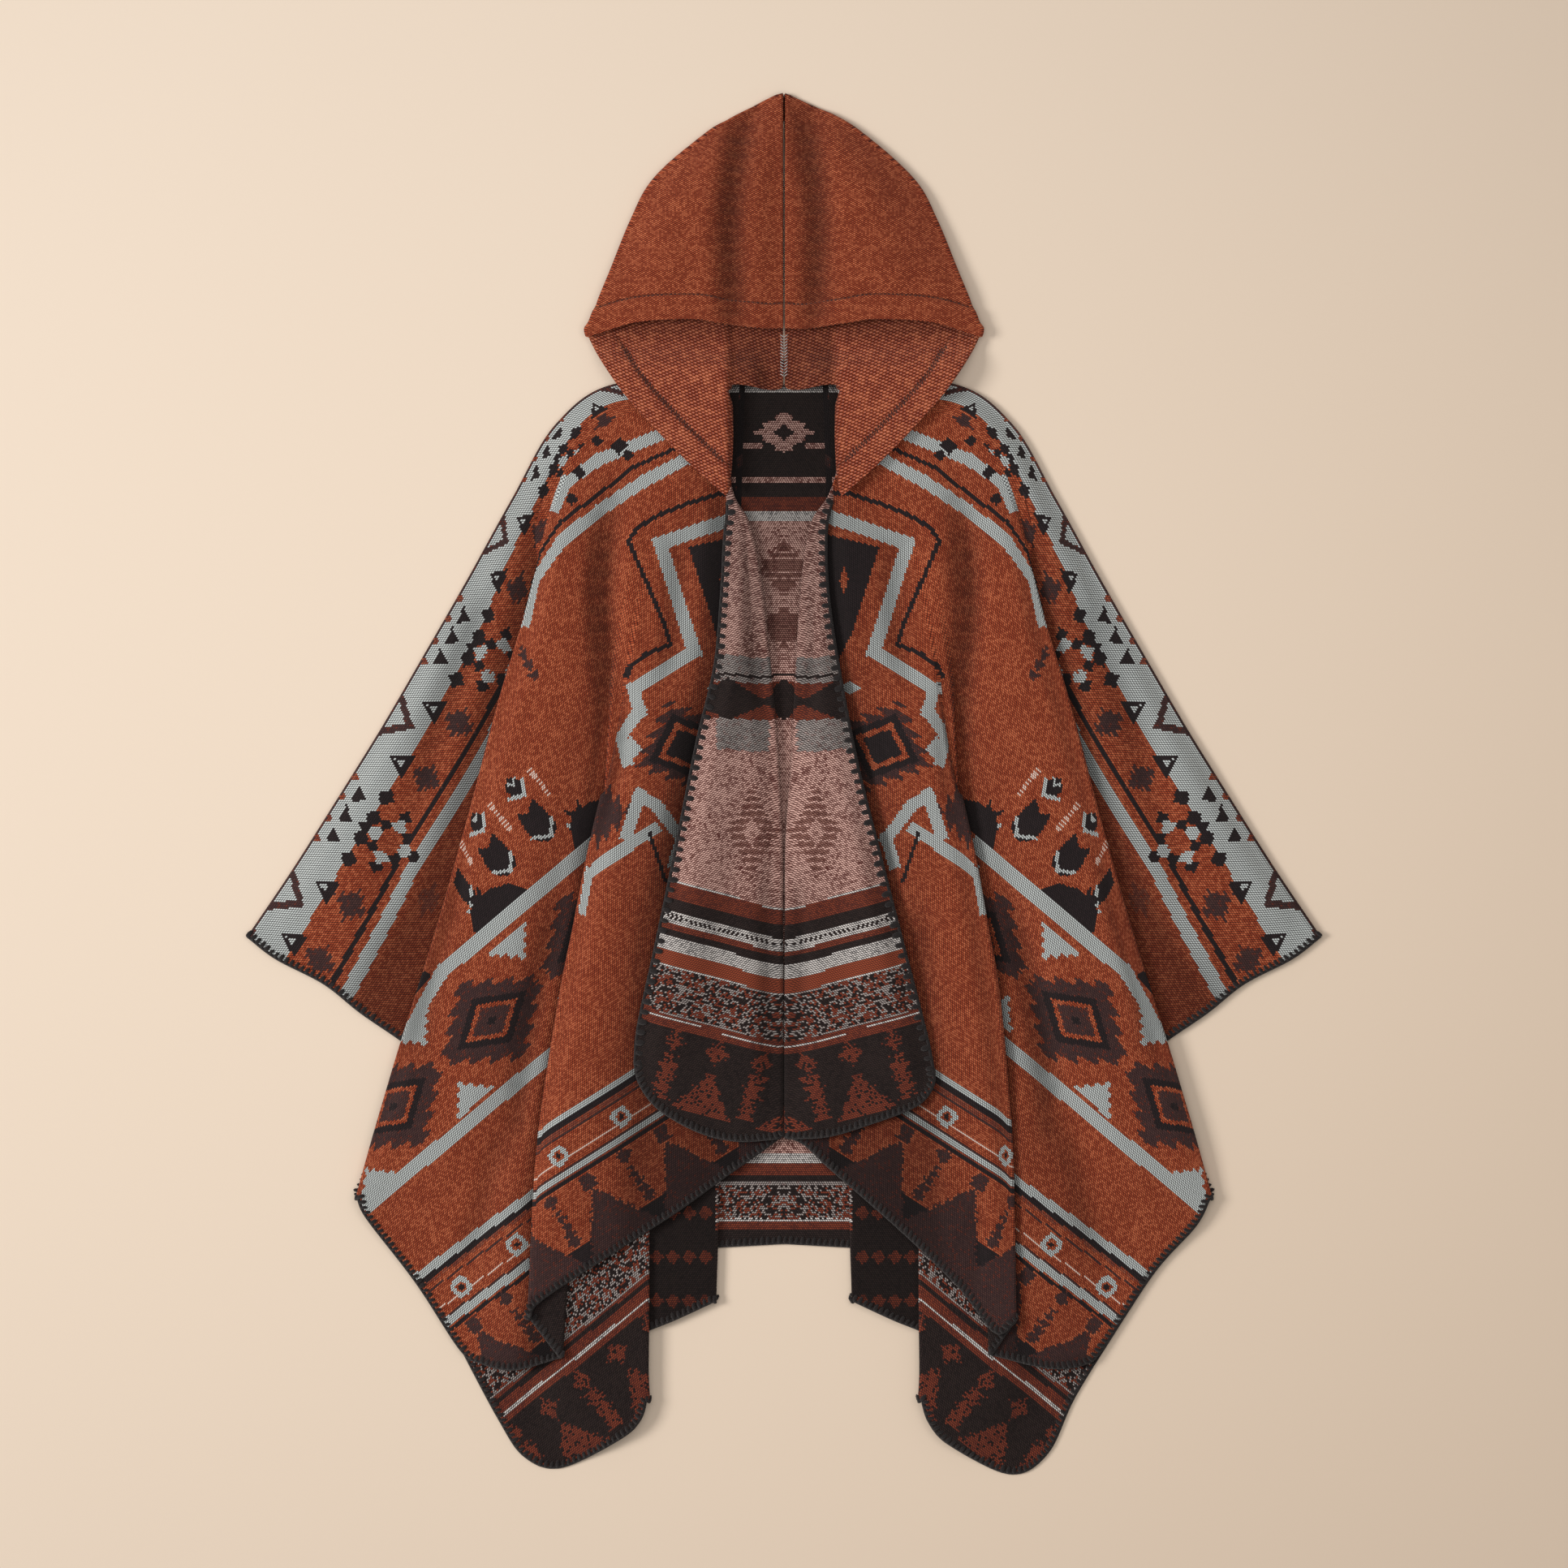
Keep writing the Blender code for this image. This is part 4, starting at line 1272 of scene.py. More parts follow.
    def bands(self, across: Value, stops: list[tuple[float, Yarn]]) -> None:
        """Paints stripes.

        Args:
            across: The distance across the stripes.
            stops: Where each stripe starts, and its yarn.
        """
        low, high = stops[0][0] - 10, stops[-1][0] + 10
        places = [(max((start - low) / (high - low), 0.0), yarn.value) for start, yarn in stops]
        self.paint = self.g.ramp((across - low) / (high - low), places, "CONSTANT")

    def lay(self, mask: Value, yarn: "Yarn | Value") -> None:
        """Paints a yarn, or another paint, where a mask holds."""
        self.paint = self.g.mix(mask, self.paint, yarn.value if isinstance(yarn, Yarn) else yarn)

    def stroke(self, points: Rows, width: float, yarn: Yarn, place: Value | None = None) -> None:
        """Paints a line of one width.

        Args:
            points: The line's corners: out, y.
            width: The line's width.
            yarn, place: The yarn, and places if not the chart's.
        """
        nearest = None
        for start, end in zip(points, points[1:]):
            along_it, beside_it = self.line(start, end, place)
            half = math.dist(start, end) / 2
            gap = abs(beside_it) | (abs(along_it - half) - half)
            nearest = gap if nearest is None else self.g.math("MINIMUM", nearest, gap)
        self.lay(nearest < width / 2, yarn)

    def toothed(self, u: Value, v: Value, half_u: float, half_v: float, tooth: float, depth: float) -> Value:
        """The reach of a lozenge, below 1 inside, with teeth of a pitch and depth down its sides."""
        return abs(u) * (1 / half_u) + abs(v) * (1 / half_v) + v.swing(tooth) * (2 * depth / tooth)

    def dressed(self, speck: float = 0.0, shade: Value | float = 0.0) -> Finish:
        """Colours the paints stitch by stitch and ends the material.

        Args:
            speck, shade: How much pale floats dot the rust, and how much painted shade darkens the cloth.

        Returns:
            The material.
        """
        g, p = self.g, self.palette
        dark, grey, pale = [g.node("ShaderNodeSeparateColor", None, k, Color=self.paint) for k in range(3)]
        slant = self.across + self.down * 0.5
        crown = (1.0 - slant * slant * 4.0) * (1.0 - self.down * self.down * 4.0)
        # Painted shade: the creases' or the finish's own, whichever is deeper.
        shade = (self.painted_shade * self.HOLLOW_SHADE) | shade
        thread = g.math("SMOOTH_MIN", crown * 1.7, 1.0, 0.3)
        spot = g.node("ShaderNodeTexCoord", None, "Object")
        broad = g.node("ShaderNodeTexNoise", None, "Fac", Vector=spot, Scale=34.0, Detail=5.0, Roughness=0.6)
        fuzz = g.node("ShaderNodeTexNoise", None, "Fac", Vector=spot, Scale=420.0, Detail=3.0, Roughness=0.75)
        tone = (broad - 0.5) * 0.45 + (fuzz - 0.5) * 0.7 + (self.chance - 0.5) * 0.4
        if self.wrong_side:
            floats = self.chance * 0.6 + thread + (broad - 0.5) * 0.7 + (fuzz - 0.5) * 0.5
            specks = g.math("SMOOTH_MIN", (floats - 0.86) * 2.2, 1.0, 0.2) | 0.0
            rust = g.mix(specks, p.wrong_gap, p.wrong)
            night = g.mix(specks * 0.025, p.wrong_dark, p.wrong)
            stone = g.mix(g.math("SMOOTH_MIN", (floats - 0.72) * 2.2, 1.0, 0.2) | 0.0, p.grey_gap, p.wrong_grey)
            cream = g.mix(specks * 0.55, p.wrong_rust, p.wrong_ember)
            cream = g.mix(grey, cream, g.mix(thread * 0.8 + 0.1, p.wrong_rust, p.wrong_ember))
        else:
            rust = g.mix(thread * 0.95 + tone * 0.6 - 0.08, p.rust_gap, p.rust)
            rust = g.mix((tone + self.chance * thread * 0.4) * 0.9, rust, p.rust_blush)
            rust = g.mix((crown - 0.76) * speck * 3.0, rust, p.pale)
            night = g.mix(thread * 0.4 + tone * 0.5 + (1.0 - dark) * 7.0 - 0.1, p.dark, p.dark_fleck)
            stone = g.mix(thread * 1.05 + tone * 0.12, p.grey_gap, p.grey)
            cream = g.mix(thread * 1.1 + tone * 0.2, p.rust, p.pale)
        edge = dark + (fuzz - 0.5 - (self.chance < 0.14) * 2.0) * dark * (1.0 - dark) * 2.0
        colour = g.mix(edge, rust, night)
        colour = g.mix(grey, colour, stone)
        colour = g.mix(pale, colour, cream)
        # Darkens the colour by the painted shade.
        colour = g.mix(shade, colour, g.mix(self.SHADE_FLOOR, (0.0, 0.0, 0.0, 1.0), colour))
        normal = g.bump(thread + fuzz * 0.6, 0.0012, 0.7)
        g.finish(colour, 0.94 - thread * 0.06, normal, 0.06, (1.0, 0.85, 0.78))
        return g.material


class Cloths:
    """The finishes of every cloth of the poncho."""

    TIP_ALONG = 493.5
    CHEST_LINE: Rows = ((50, 304), (66.7, 303.5), (100.7, 292.4), (129.6, 281.4), (152.6, 267.3), (162, 253.3),
                        (151, 227.8), (138.1, 197.2), (126.2, 169.2), (118.6, 145.4), (144, 135.2), (160.2, 124.1),
                        (165, 113))

    def __init__(self) -> None:
        """Makes each finish once."""
        self.wrong = self.speckle()
        self.wing = self.wing_cloth()
        self.body = self.body_cloth()
        self.inner = self.inner_cloth()
        self.lapel = self.lapel_cloth()
        self.back_inside = self.back_cloth()
        self.tails = self.tails_cloth()
        self.returns = self.returns_cloth()
        self.hood = self.twill("hood_twill", False)
        self.hood_inside = self.twill("hood_inside", True)

    def speckle(self) -> Finish:
        """The wrong side's pale specks on a maroon ground."""
        weave = Weave("wrong_side_plain", -8.0, True)
        weave.bands(weave.y, [(-800, DARK), (-490, RUST)])
        return weave.dressed()

    def wing_cloth(self) -> Finish:
        """The wing's bands, which follow the shoulder edge, with stepped diamonds along them."""
        w = Weave("wing_cloth", on_band=True, cell=(2.7, 2.2))
        along_it = w.s - self.TIP_ALONG
        stretch = w.follow(along_it, [(-320, 0.5), (-200, 0.62), (-138, 0.7), (-114, 0.78), (-60, 0.97), (54, 1.0),
                                      (180, 1.0), (330, 1.15)])
        t = w.t / stretch
        w.bands(t, [(0, PLUM), (2.8, GREY), (41, RUST), (85.5, DARK), (91, RUST), (98.5, GREY), (112, RUST)])
        q = (along_it - 168).saw(216)
        u, tt = abs(q), t - 71
        row = u < 50
        w.lay((((q - 12.5).swing(25) | abs(t - 43.5)) < 5.4) * row, DARK)
        w.lay((((q - 12.5).swing(25) + abs(t - 43.5)) < 9.5) * row, DARK)
        round_it, aslant = u + abs(tt), abs(u - abs(tt))
        w.lay(round_it.near(20.5, 6.5) * (aslant > 8.5), GREY)
        w.lay(round_it.near(26, 7.0) * (aslant < 7), DARK)
        w.lay(round_it.near(32, 5.0) * (aslant > 21), DARK)
        bug = abs(u - 75.5)
        w.lay(w.toothed(bug, tt + 3, 20, 21, 6.5, 0.42) < 1, PLUM)
        w.lay((bug < (t - 24) * 0.6) * (t < 47), DARK)
        w.lay((bug < (t - 29) * 0.38) * (t < 39), GREY)
        roof = abs((along_it - 55).saw(216)) * 1.1 + t
        w.lay(abs(roof - 25) < 5.2, PLUM)
        w.lay(w.inside(((-8.5, -5), (11, -2.5), (1.5, 10)), w.spot(q.saw(25), t - 17)) * (u < 38), DARK)
        w.lay((((q - 12.5).swing(25) + abs(t - 4)) < 4.5) * row, FADED)
        w.lay(w.toothed(q - 30, t - 134, 22, 17, 8, 0.5) < 1, FADED)
        return w.dressed()

    def body_cloth(self) -> Finish:
        """The body's slanting stripes, with diamonds and pyramids between them and drops above them."""
        b = Weave("body_cloth", -40.5)
        _, c = b.line((263.7, -427.1), (384.5, -515.1))
        b.bands(c, [(-300, RUST), (-4.8, GREY), (4.8, DARK), (10.5, FADED), (12.7, RUST),
                    (18, PLUM), (20.5, RUST), (40, PALE), (41.9, RUST), (49.5, PLUM),
                    (52.5, GREY), (60.5, RUST), (62.5, DARK), (65.5, RUST), (131, DARK)])
        way = (103.7, -90.0)
        s, d = b.line((304.6, -246.2), (408.3, -336.2))
        q, e = s.saw(137), abs(d)
        between = e < 56
        b.lay((abs(q) + e * 1.35 + (e - 8).swing(12.5) * 2.6 < 76) * between, PLUM)
        rhomb = abs(q) * (1 / 34.5) + e * (1 / 22)
        for shape, yarn in (((rhomb < 1.36) * between, DARK), ((rhomb < 1.0) * between, RUST), (rhomb < 0.76, PLUM),
                            (rhomb < 0.2, DARK)):
            b.lay(shape, yarn)
        p = abs((s - 68.5).saw(137))
        teeth = (p + e).swing(15) * 0.95
        b.lay(((p + (55 - e) * 0.95 + teeth) < 30) * (e < 55), GREY)
        self.drops(b, s, d, way)
        rough = b.local((s + 80.5).saw(137), d + 87.5, way)
        b.lay(b.inside(((20, -30), (26, -8), (22, 6), (6, 18), (-16, 24), (-34, 18), (-28, 10)), rough), DARK)
        b.stroke(((201.9, -63.8), (357.4, -196.4), (400, -262)), 15.5, GREY)
        b.stroke(((222, -265), (242.7, -282.2), (433.9, -439.5)), 14.5, GREY)
        self.shoulder(b)
        b.stroke(self.CHEST_LINE, 4.4, DARK)
        tree, beyond = b.line((263.7, -427.1), (384.5, -515.1))
        self.trees(b, tree - 40, beyond - 64, 4.5)
        self.rings(b, ((337.0, -525.3), (278.4, -479.4)), 11.5)
        return b.dressed()

    def drops(self, b: Weave, s: Value, d: Value, way: Pair) -> None:
        """Paints the dark drops, their pale corners and the rows of dashes.

        Args:
            b: The cloth.
            s, d: The places along the row of diamonds and to its right.
            way: The row's way.
        """
        shown = (s + 130).near(0.0, 70.0)
        big = b.local((s + 171.2).saw(55.2), d + 122.4, way)
        b.lay(b.inside(((12, 9), (15, -5), (2, -18), (-10, -18), (-18, -9), (-18, 2), (-8, 12), (2, 15)), big) * shown,
              DARK)
        spikes = b.inside(((6.8, 27), (12, 6), (-9, 12)), big) | b.inside(((23, 10), (8, 11), (13, -6)), big)
        b.lay(spikes * shown, DARK)
        corner = ((-13, 6), (-13, -12.5), (6, -14.5))
        self.corner(b, big, corner, 3.6, shown)
        small = b.local((s + 177.5).saw(56.0), d + 168, way)
        near = d.near(-168, 24.0) * shown
        b.lay(b.inside(((9, 9), (9, -4), (3, -10), (-5, -11), (-9, -5), (-8, 6), (0, 9)), small) * near, DARK)
        self.corner(b, small, ((-9, 8), (-10, -9), (6, -13)), 4.0, near)
        self.corner(b, small, ((6, 2), (1, 2), (1, 8)), 3.2, near)
        dash = b.local((s + 146).saw(54.5), d + 154.7, way)
        run, cross = b.line((13, 15), (-13, -16), dash)
        bars = ((run - 20).swing(4.6) > 0.9) * abs(cross).near(0.0, 2.9) * run.near(20.0, 19.0)
        b.lay(bars * (s + 146).near(0.0, 85.0), PALE)
        hook = b.local((s + 71.4).saw(137), d + 102, way)
        b.lay(b.inside(((1.6, 16), (4, 0), (-5, 4)), hook) | b.inside(((15.7, 5), (2, 4), (5, -5)), hook)
              | b.inside(((6, -6), (7, 4), (-4, 5), (-5, -4)), hook), DARK)
        self.corner(b, hook, ((-11, 8), (-11, -10.7), (10.2, -10.7)), 4.2, d.near(-102, 30.0))

    def corner(self, b: Weave, place: Value, points: Rows, width: float, shown: Value) -> None:
        """Paints a pale bent stroke of a motif.

        Args:
            b: The cloth.
            place: The places round the motif's middle.
            points, width: The stroke's corners and width.
            shown: Where it may show.
        """
        before = b.paint
        b.stroke(points, width, GREY, place)
        b.paint = b.g.mix(shown, before, b.paint)

    def shoulder(self, b: Weave) -> None:
        """Paints the arcs that run from the hood to the pleat, and the stepped band above them."""
        for points, width, yarn in (
            (((72, 352), (102, 339), (144, 317), (188, 289), (230, 255), (264, 212), (273, 170)), 13.0, GREY),
            (((98, 357), (158, 330), (197.6, 299), (233.3, 273), (258, 242), (266, 222)), 3.9, DARK),
            (((120, 368), (150, 356), (193.7, 338), (228.4, 314), (240, 290)), 13.0, GREY),
        ):
            b.stroke(points, width, yarn)
        for out, y, size in ((172, 353, 8.0), (163, 343, 6.0), (214, 325, 7.0), (222, 297, 6.5), (221, 348, 7.0),
                             (246, 322, 6.5), (195, 358, 6.0)):
            u, v = b.x - out, b.y - y
            b.lay((abs(u) + abs(v)) * 0.8 + (u - v).swing(5) * 0.6 < size, DARK)
        run, cross = b.line((279, 144), (256, 107))
        step = run.saw(13.0)
        b.lay(run.near(21.0, 20.0) * ((abs(cross) + step * 0.5) < 3.6), PLUM)

    def trees(self, b: Weave, along_it: Value, across_it: Value, start: float) -> None:
        """Paints the dark block-topped pyramids and the stepped slivers between them, above a hem.

        Args:
            b: The cloth.
            along_it: Places along the hem.
            across_it, start: How far into the band, and where the block tops start in it.
        """
        q = along_it.saw(89.6)
        ragged = (b.chance - 0.5) * 4.5
        u = abs(q) + ragged
        depth = across_it - start
        block = (u < 7.5) * depth.near(8.0, 8.0)
        b.lay(block | ((u < (depth - 14) * 0.62) * (depth > 14)), PLUM)
        v = abs((along_it - 44.8).saw(89.6)) + ragged
        sliver = v + depth.swing(9) * 1.3 - depth * 0.1
        b.lay((sliver < 3.5) * depth.near(39.0, 21.0), PLUM)
        b.lay((v + abs(depth - 5.0)) < 8.5, PLUM)

    def rings(self, b: Weave, middles: tuple[Pair, ...], radius: float) -> None:
        """Paints small stepped grey rings with dark middles.

        Args:
            b: The cloth.
            middles, radius: Where they lie, and their outer radius.
        """
        for middle in middles:
            u, v = abs(b.x - middle[0]), abs(b.y - middle[1])
            gap = (u + v) * 0.62 + (u | v) * 0.3
            for share, yarn in ((1.0, GREY), (0.52, RUST), (0.26, DARK)):
                b.lay(gap < radius * share, yarn)

    def inner_cloth(self) -> Finish:
        """The inner part: a zigzag and a dark kite on the chest, stripes, rings and trees above the hem."""
        n = Weave("inner_cloth", -32.0)
        run, d = n.line((155.6, -297.4), (253.7, -358.7))
        n.bands(d, [(-300, RUST), (-3.6, GREY), (3.6, DARK), (9.6, FADED),
                    (15.5, PLUM), (17.8, RUST), (37, PALE), (38.8, RUST), (47, PLUM),
                    (49, GREY), (56.4, FADED), (58, DARK), (60.5, RUST), (125, DARK)])
        n.stroke(self.CHEST_LINE, 4.4, DARK)
        n.stroke(((60, 357), (72, 352), (102, 339), (144, 317)), 13.0, GREY)
        n.stroke(((50, 279), (59.7, 274.6), (129.6, 251.2), (93.9, 138.6), (158.1, 99.1), (151, 76), (173, 48),
                  (165, 25)), 14.3, GREY)
        n.lay(n.inside(((99, 247), (40, 262), (40, 100), (70.4, 154.7))), DARK)
        n.lay((abs(n.x - 63) * 1.0 + abs(n.y - 213) * 0.33) < 4.5, RUST)
        n.lay((abs(n.x - 70) + abs(n.y - 101) * 1.6) < 11, GREY)
        n.lay((abs(n.x - 160) + abs(n.y - 36) * 0.9 + (n.x - n.y).swing(8) * 0.8) < 14, GREY)
        angle = math.radians(-22)
        c, s = math.cos(angle), math.sin(angle)
        u, v = (n.measure(way, (103, 39)) for way in ((c, s), (-s, c)))
        n.lay(n.toothed(u, v, 60, 56, 12, 0.3) < 1, PLUM)
        rhomb = abs(u) * (1 / 30) + abs(v) * (1 / 27)
        for reach, yarn in ((1.35, DARK), (1.0, RUST), (0.72, DARK)):
            n.lay(rhomb < reach, yarn)
        edge_u, edge_v = n.x - 197, n.y + 30
        n.lay(n.toothed(edge_v, edge_u, 42, 48, 12, 0.4) < 1, PLUM)
        n.stroke(((163.6, -52.7), (150, -11), (132.2, -23.8), (107.5, -57), (115, -82)), 12.5, GREY)
        n.stroke(((136, -47), (141, -51), (207.5, -93.5), (214, -130)), 12.5, GREY)
        n.stroke(((140, -51), (131.8, -77), (124.5, -101)), 3.4, DARK)
        self.trees(n, run - 12, d - 60, 4.5)
        self.rings(n, ((234.2, -385.9), (169.6, -345.9)), 11.0)
        return n.dressed()

    def lapel_cloth(self) -> Finish:
        """The lapel's wrong side: specks, banded lines and a dark hem with lozenges, with painted shade that deepens
        towards the neck.
        """
        w = Weave("lapel_inside", 15.0, True)
        run, d = w.line((0, -132), (114, -100))
        w.bands(d, [(-300, RUST), (-1.6, GREY), (1.6, MAROON), (17.5, DARK), (30.7, GREY),
                    (42.8, MAROON), (49, DARK), (56, GREY), (71, EMBER), (84.4, GREY),
                    (86.6, MOTTLED), (134, MAROON), (137, GREY), (140.4, MAROON), (147, DARK)])
        w.lay(d.near(36.5, 2.2) * (run.saw(5).near(0.0, 1.1)), DARK)
        self.mottle(w, run, d - 111, 23.0)
        self.neck_bands(w)
        dashes = (abs(w.x - 34) * (1 / 27) + abs(w.y + 50) * (1 / 50) + w.y.swing(8) * 0.07) < 1
        w.lay(dashes * ((w.y + 3).swing(8) > 1.3), DUSKY)
        w.lay((abs(w.x - 34) * (1 / 9) + abs(w.y + 50) * (1 / 16)) < 1, RUST)
        self.lozenges(w, run - 27, d - 161)
        # Painted shade, deeper towards the neck, where the lapels lie in shade.
        return w.dressed(shade=w.follow(w.y, [(50, 0.0), (100, 0.18), (150, 0.3), (260, 0.42)]))

    def neck_bands(self, w: Weave) -> None:
        """Paints the level bands of grey specks and dark blocks that cross the chest on the wrong side."""
        wave = w.y + (w.x.swing(60) - 15) * 0.12
        w.lay(wave.near(84, 49.0) * ((w.x - 45).swing(84) < 25), MOTTLED)
        w.lay(wave.near(87, 19.0), MAROON)
        w.lay((abs(w.x - 58) * 0.55 + abs(wave - 87)) < 22, DARK)
        w.lay(((abs(w.x) * 0.8 + abs(wave - 87)) < 22) | wave.near(113, 1.2), DARK)

    def mottle(self, w: Weave, along_it: Value, across_it: Value, reach: float) -> None:
        """Paints the uneven dark and maroon patches of a band whose right side has small motifs.

        Args:
            w: The cloth.
            along_it, across_it: Places along the band and from its middle.
            reach: Half the band's width.
        """
        g = w.g
        shape = w.spot(along_it * 0.085, across_it * 0.15)
        patches = g.node("ShaderNodeTexNoise", {"noise_dimensions": "2D"}, "Fac", Vector=shape, Scale=1.0, Detail=1.5)
        patches = patches + (w.chance - 0.5) * 0.6
        inner = across_it.near(0.0, reach)
        w.lay((patches + across_it.swing(11) * 0.02 < 0.46) * inner, DARK)
        w.lay((patches - across_it.swing(9) * 0.015 > 0.6) * inner, MAROON)

    def lozenges(self, w: Weave, along_it: Value, depth: Value) -> None:
        """Paints the rust lozenges, with a pyramid under each and stepped slivers between, on the dark hem.

        Args:
            w: The cloth.
            along_it: Places along the hem.
            depth: How far past the lozenges' middle towards the hem.
        """
        ragged = (w.chance - 0.5) * 7.0
        u = abs(along_it.saw(92.0)) + ragged
        v = abs((along_it - 46).saw(92.0)) + ragged
        worn = w.chance > 0.16
        w.lay(((u + abs(depth)) < 13) * worn, MAROON)
        w.lay((u + depth.swing(13) * 0.5 < (depth - 16) * 0.66) * (depth < 66) * worn, MAROON)
        w.lay(((v + abs(depth + 1) * 0.8) < 10.5) * worn, MAROON)
        w.lay(((v + (depth - 12).swing(12) * 0.9) < 11) * depth.near(36, 24.0) * worn, MAROON)

    def back_cloth(self) -> Finish:
        """The back's wrong side, seen at the neck and at the middle of the hem, with painted shade deeper towards the
        neck and over the folded middle.
        """
        w = Weave("back_inside", 0.0, True)
        folded = w.x > 71.5
        v = (w.y + 480) * (1.0 - folded) + folded * 5.0
        w.bands(v, [(0, DARK), (12, MAROON), (21, GREY), (24, MOTTLED), (62, GREY),
                    (64, DARK), (68, MAROON), (82, GREY), (91, RUST), (755.5, GREY),
                    (765.4, MAROON), (780, DARK), (793, RUST), (799, DARK), (880, RUST), (883, DARK), (887.5, GREY)])
        w.lay(folded * ((w.x - 82).swing(17) + (w.y + 540).swing(46) < 8), MAROON)
        self.mottle(w, w.x, v - 43, 18.0)
        w.lay(w.toothed(w.x, w.y - 368, 35, 25, 9, 0.22) < 1, RUST)
        ring = abs(w.x) * (1 / 24) + abs(w.y - 368) * (1 / 17.5)
        w.lay(ring < 0.45, DARK)
        w.lay(abs(w.x).near(33, 11.0) * w.y.near(354, 2.6), RUST)
        self.neck_bands(w)
        smudge = (abs(w.x) * (1 / 30) + abs(w.y - 225) * (1 / 34) + w.y.swing(8) * 0.06) < 1
        w.lay(smudge * ((w.y + 2).swing(7) > 0.9), DUSKY)
        w.lay((abs(w.x) * (1 / 34) + abs(w.y - 165) * (1 / 24) + w.y.swing(8) * 0.06) < 1, DUSKY)
        # Painted shade: darker towards the neck, and over the folded middle of the hem.
        return w.dressed(shade=w.follow(w.y, [(100, 0.0), (160, 0.38), (290, 0.45), (330, 0.6)]) | folded * 0.5)

    def tails_cloth(self) -> Finish:
        """The tails' wrong side: specks above a pale line, and a dark hem with rust slivers."""
        w = Weave("tails_inside", -40.0, True)
        run, d = w.line((144, -539), (248.6, -623))
        w.bands(d, [(-400, MAROON), (-130, GREY), (-118, MAROON), (-96, MOTTLED), (-20, MAROON),
                    (-17, DARK), (-13, MAROON), (-1.6, GREY), (1.6, MAROON), (7, DARK)])
        self.mottle(w, run, d + 58, 36.0)
        self.lozenges(w, run - 58, d - 24)
        return w.dressed()

    def returns_cloth(self) -> Finish:
        """The back's return layers, right side up in the shade, which is painted over them: dark, with faded rust in
        it.
        """
        r = Weave("return_cloth", -35.0)
        run, d = r.line((145, -500), (75, -530))
        r.bands(d, [(-60, DARK), (60, DARK)])
        r.lay((run.swing(34) + abs(d + 30).swing(30)) < 8, PLUM)
        # Painted shade over the whole return cloth.
        return r.dressed(shade=0.75)

    def twill(self, name: str, inside: bool) -> Finish:
        """The hood's plain twill, with painted shade along the stitches of its hem, and inside towards the centre and
        under the face edge.
        """
        weave = Weave(name, 30.0, cell=(4.4, 2.7) if inside else (2.3, 1.9))
        weave.paint = weave.g.mix(0.0, RUST.value, RUST.value)
        # Painted shade in the groove along the hem's stitches.
        seam = weave.follow(weave.t, [(24.2, 0.0), (25.4, 0.55), (26.8, 0.55), (28.0, 0.0)])
        if not inside:
            return weave.dressed(0.0, seam)
        # Inside, painted shade towards the centre of the hood's back and just under the face edge.
        shaded = weave.follow(weave.x, [(48, 0.6), (64, 0.0)]) | weave.follow(weave.y, [(452, 0.0), (474, 0.55)])
        return weave.dressed(0.4, seam | shaded)


@dataclass
class Guide:
    """A line that stitches follow.

    Attributes:
        points: Points along it, in millimetres.
        lean, up: The way each stitch lies, and stands off the cloth.
    """

    points: Array
    lean: Array
    up: Array

    @classmethod
    def of(cls, edge: Array, inner: Array, inset: float, raise_by: float, slant: float = 0.0) -> "Guide":
        """Sets a line of stitches in from an edge.

        Args:
            edge, inner: Points along the edge, and one further in for each.
            inset, raise_by: How far in, and over the cloth's middle, the stitches lie.
            slant: How far they lean along the edge, for each step in.

        Returns:
            The line.
        """
        run = unit(np.gradient(edge, axis=0))
        lean = inner - edge
        lean = unit(lean - (lean * run).sum(axis=1, keepdims=True) * run)
        up = unit(np.cross(run, lean))
        up *= np.where(up[:, 2:] < 0, -1, 1)
        return cls(edge + lean * inset + up * raise_by, unit(lean + run * slant), up)


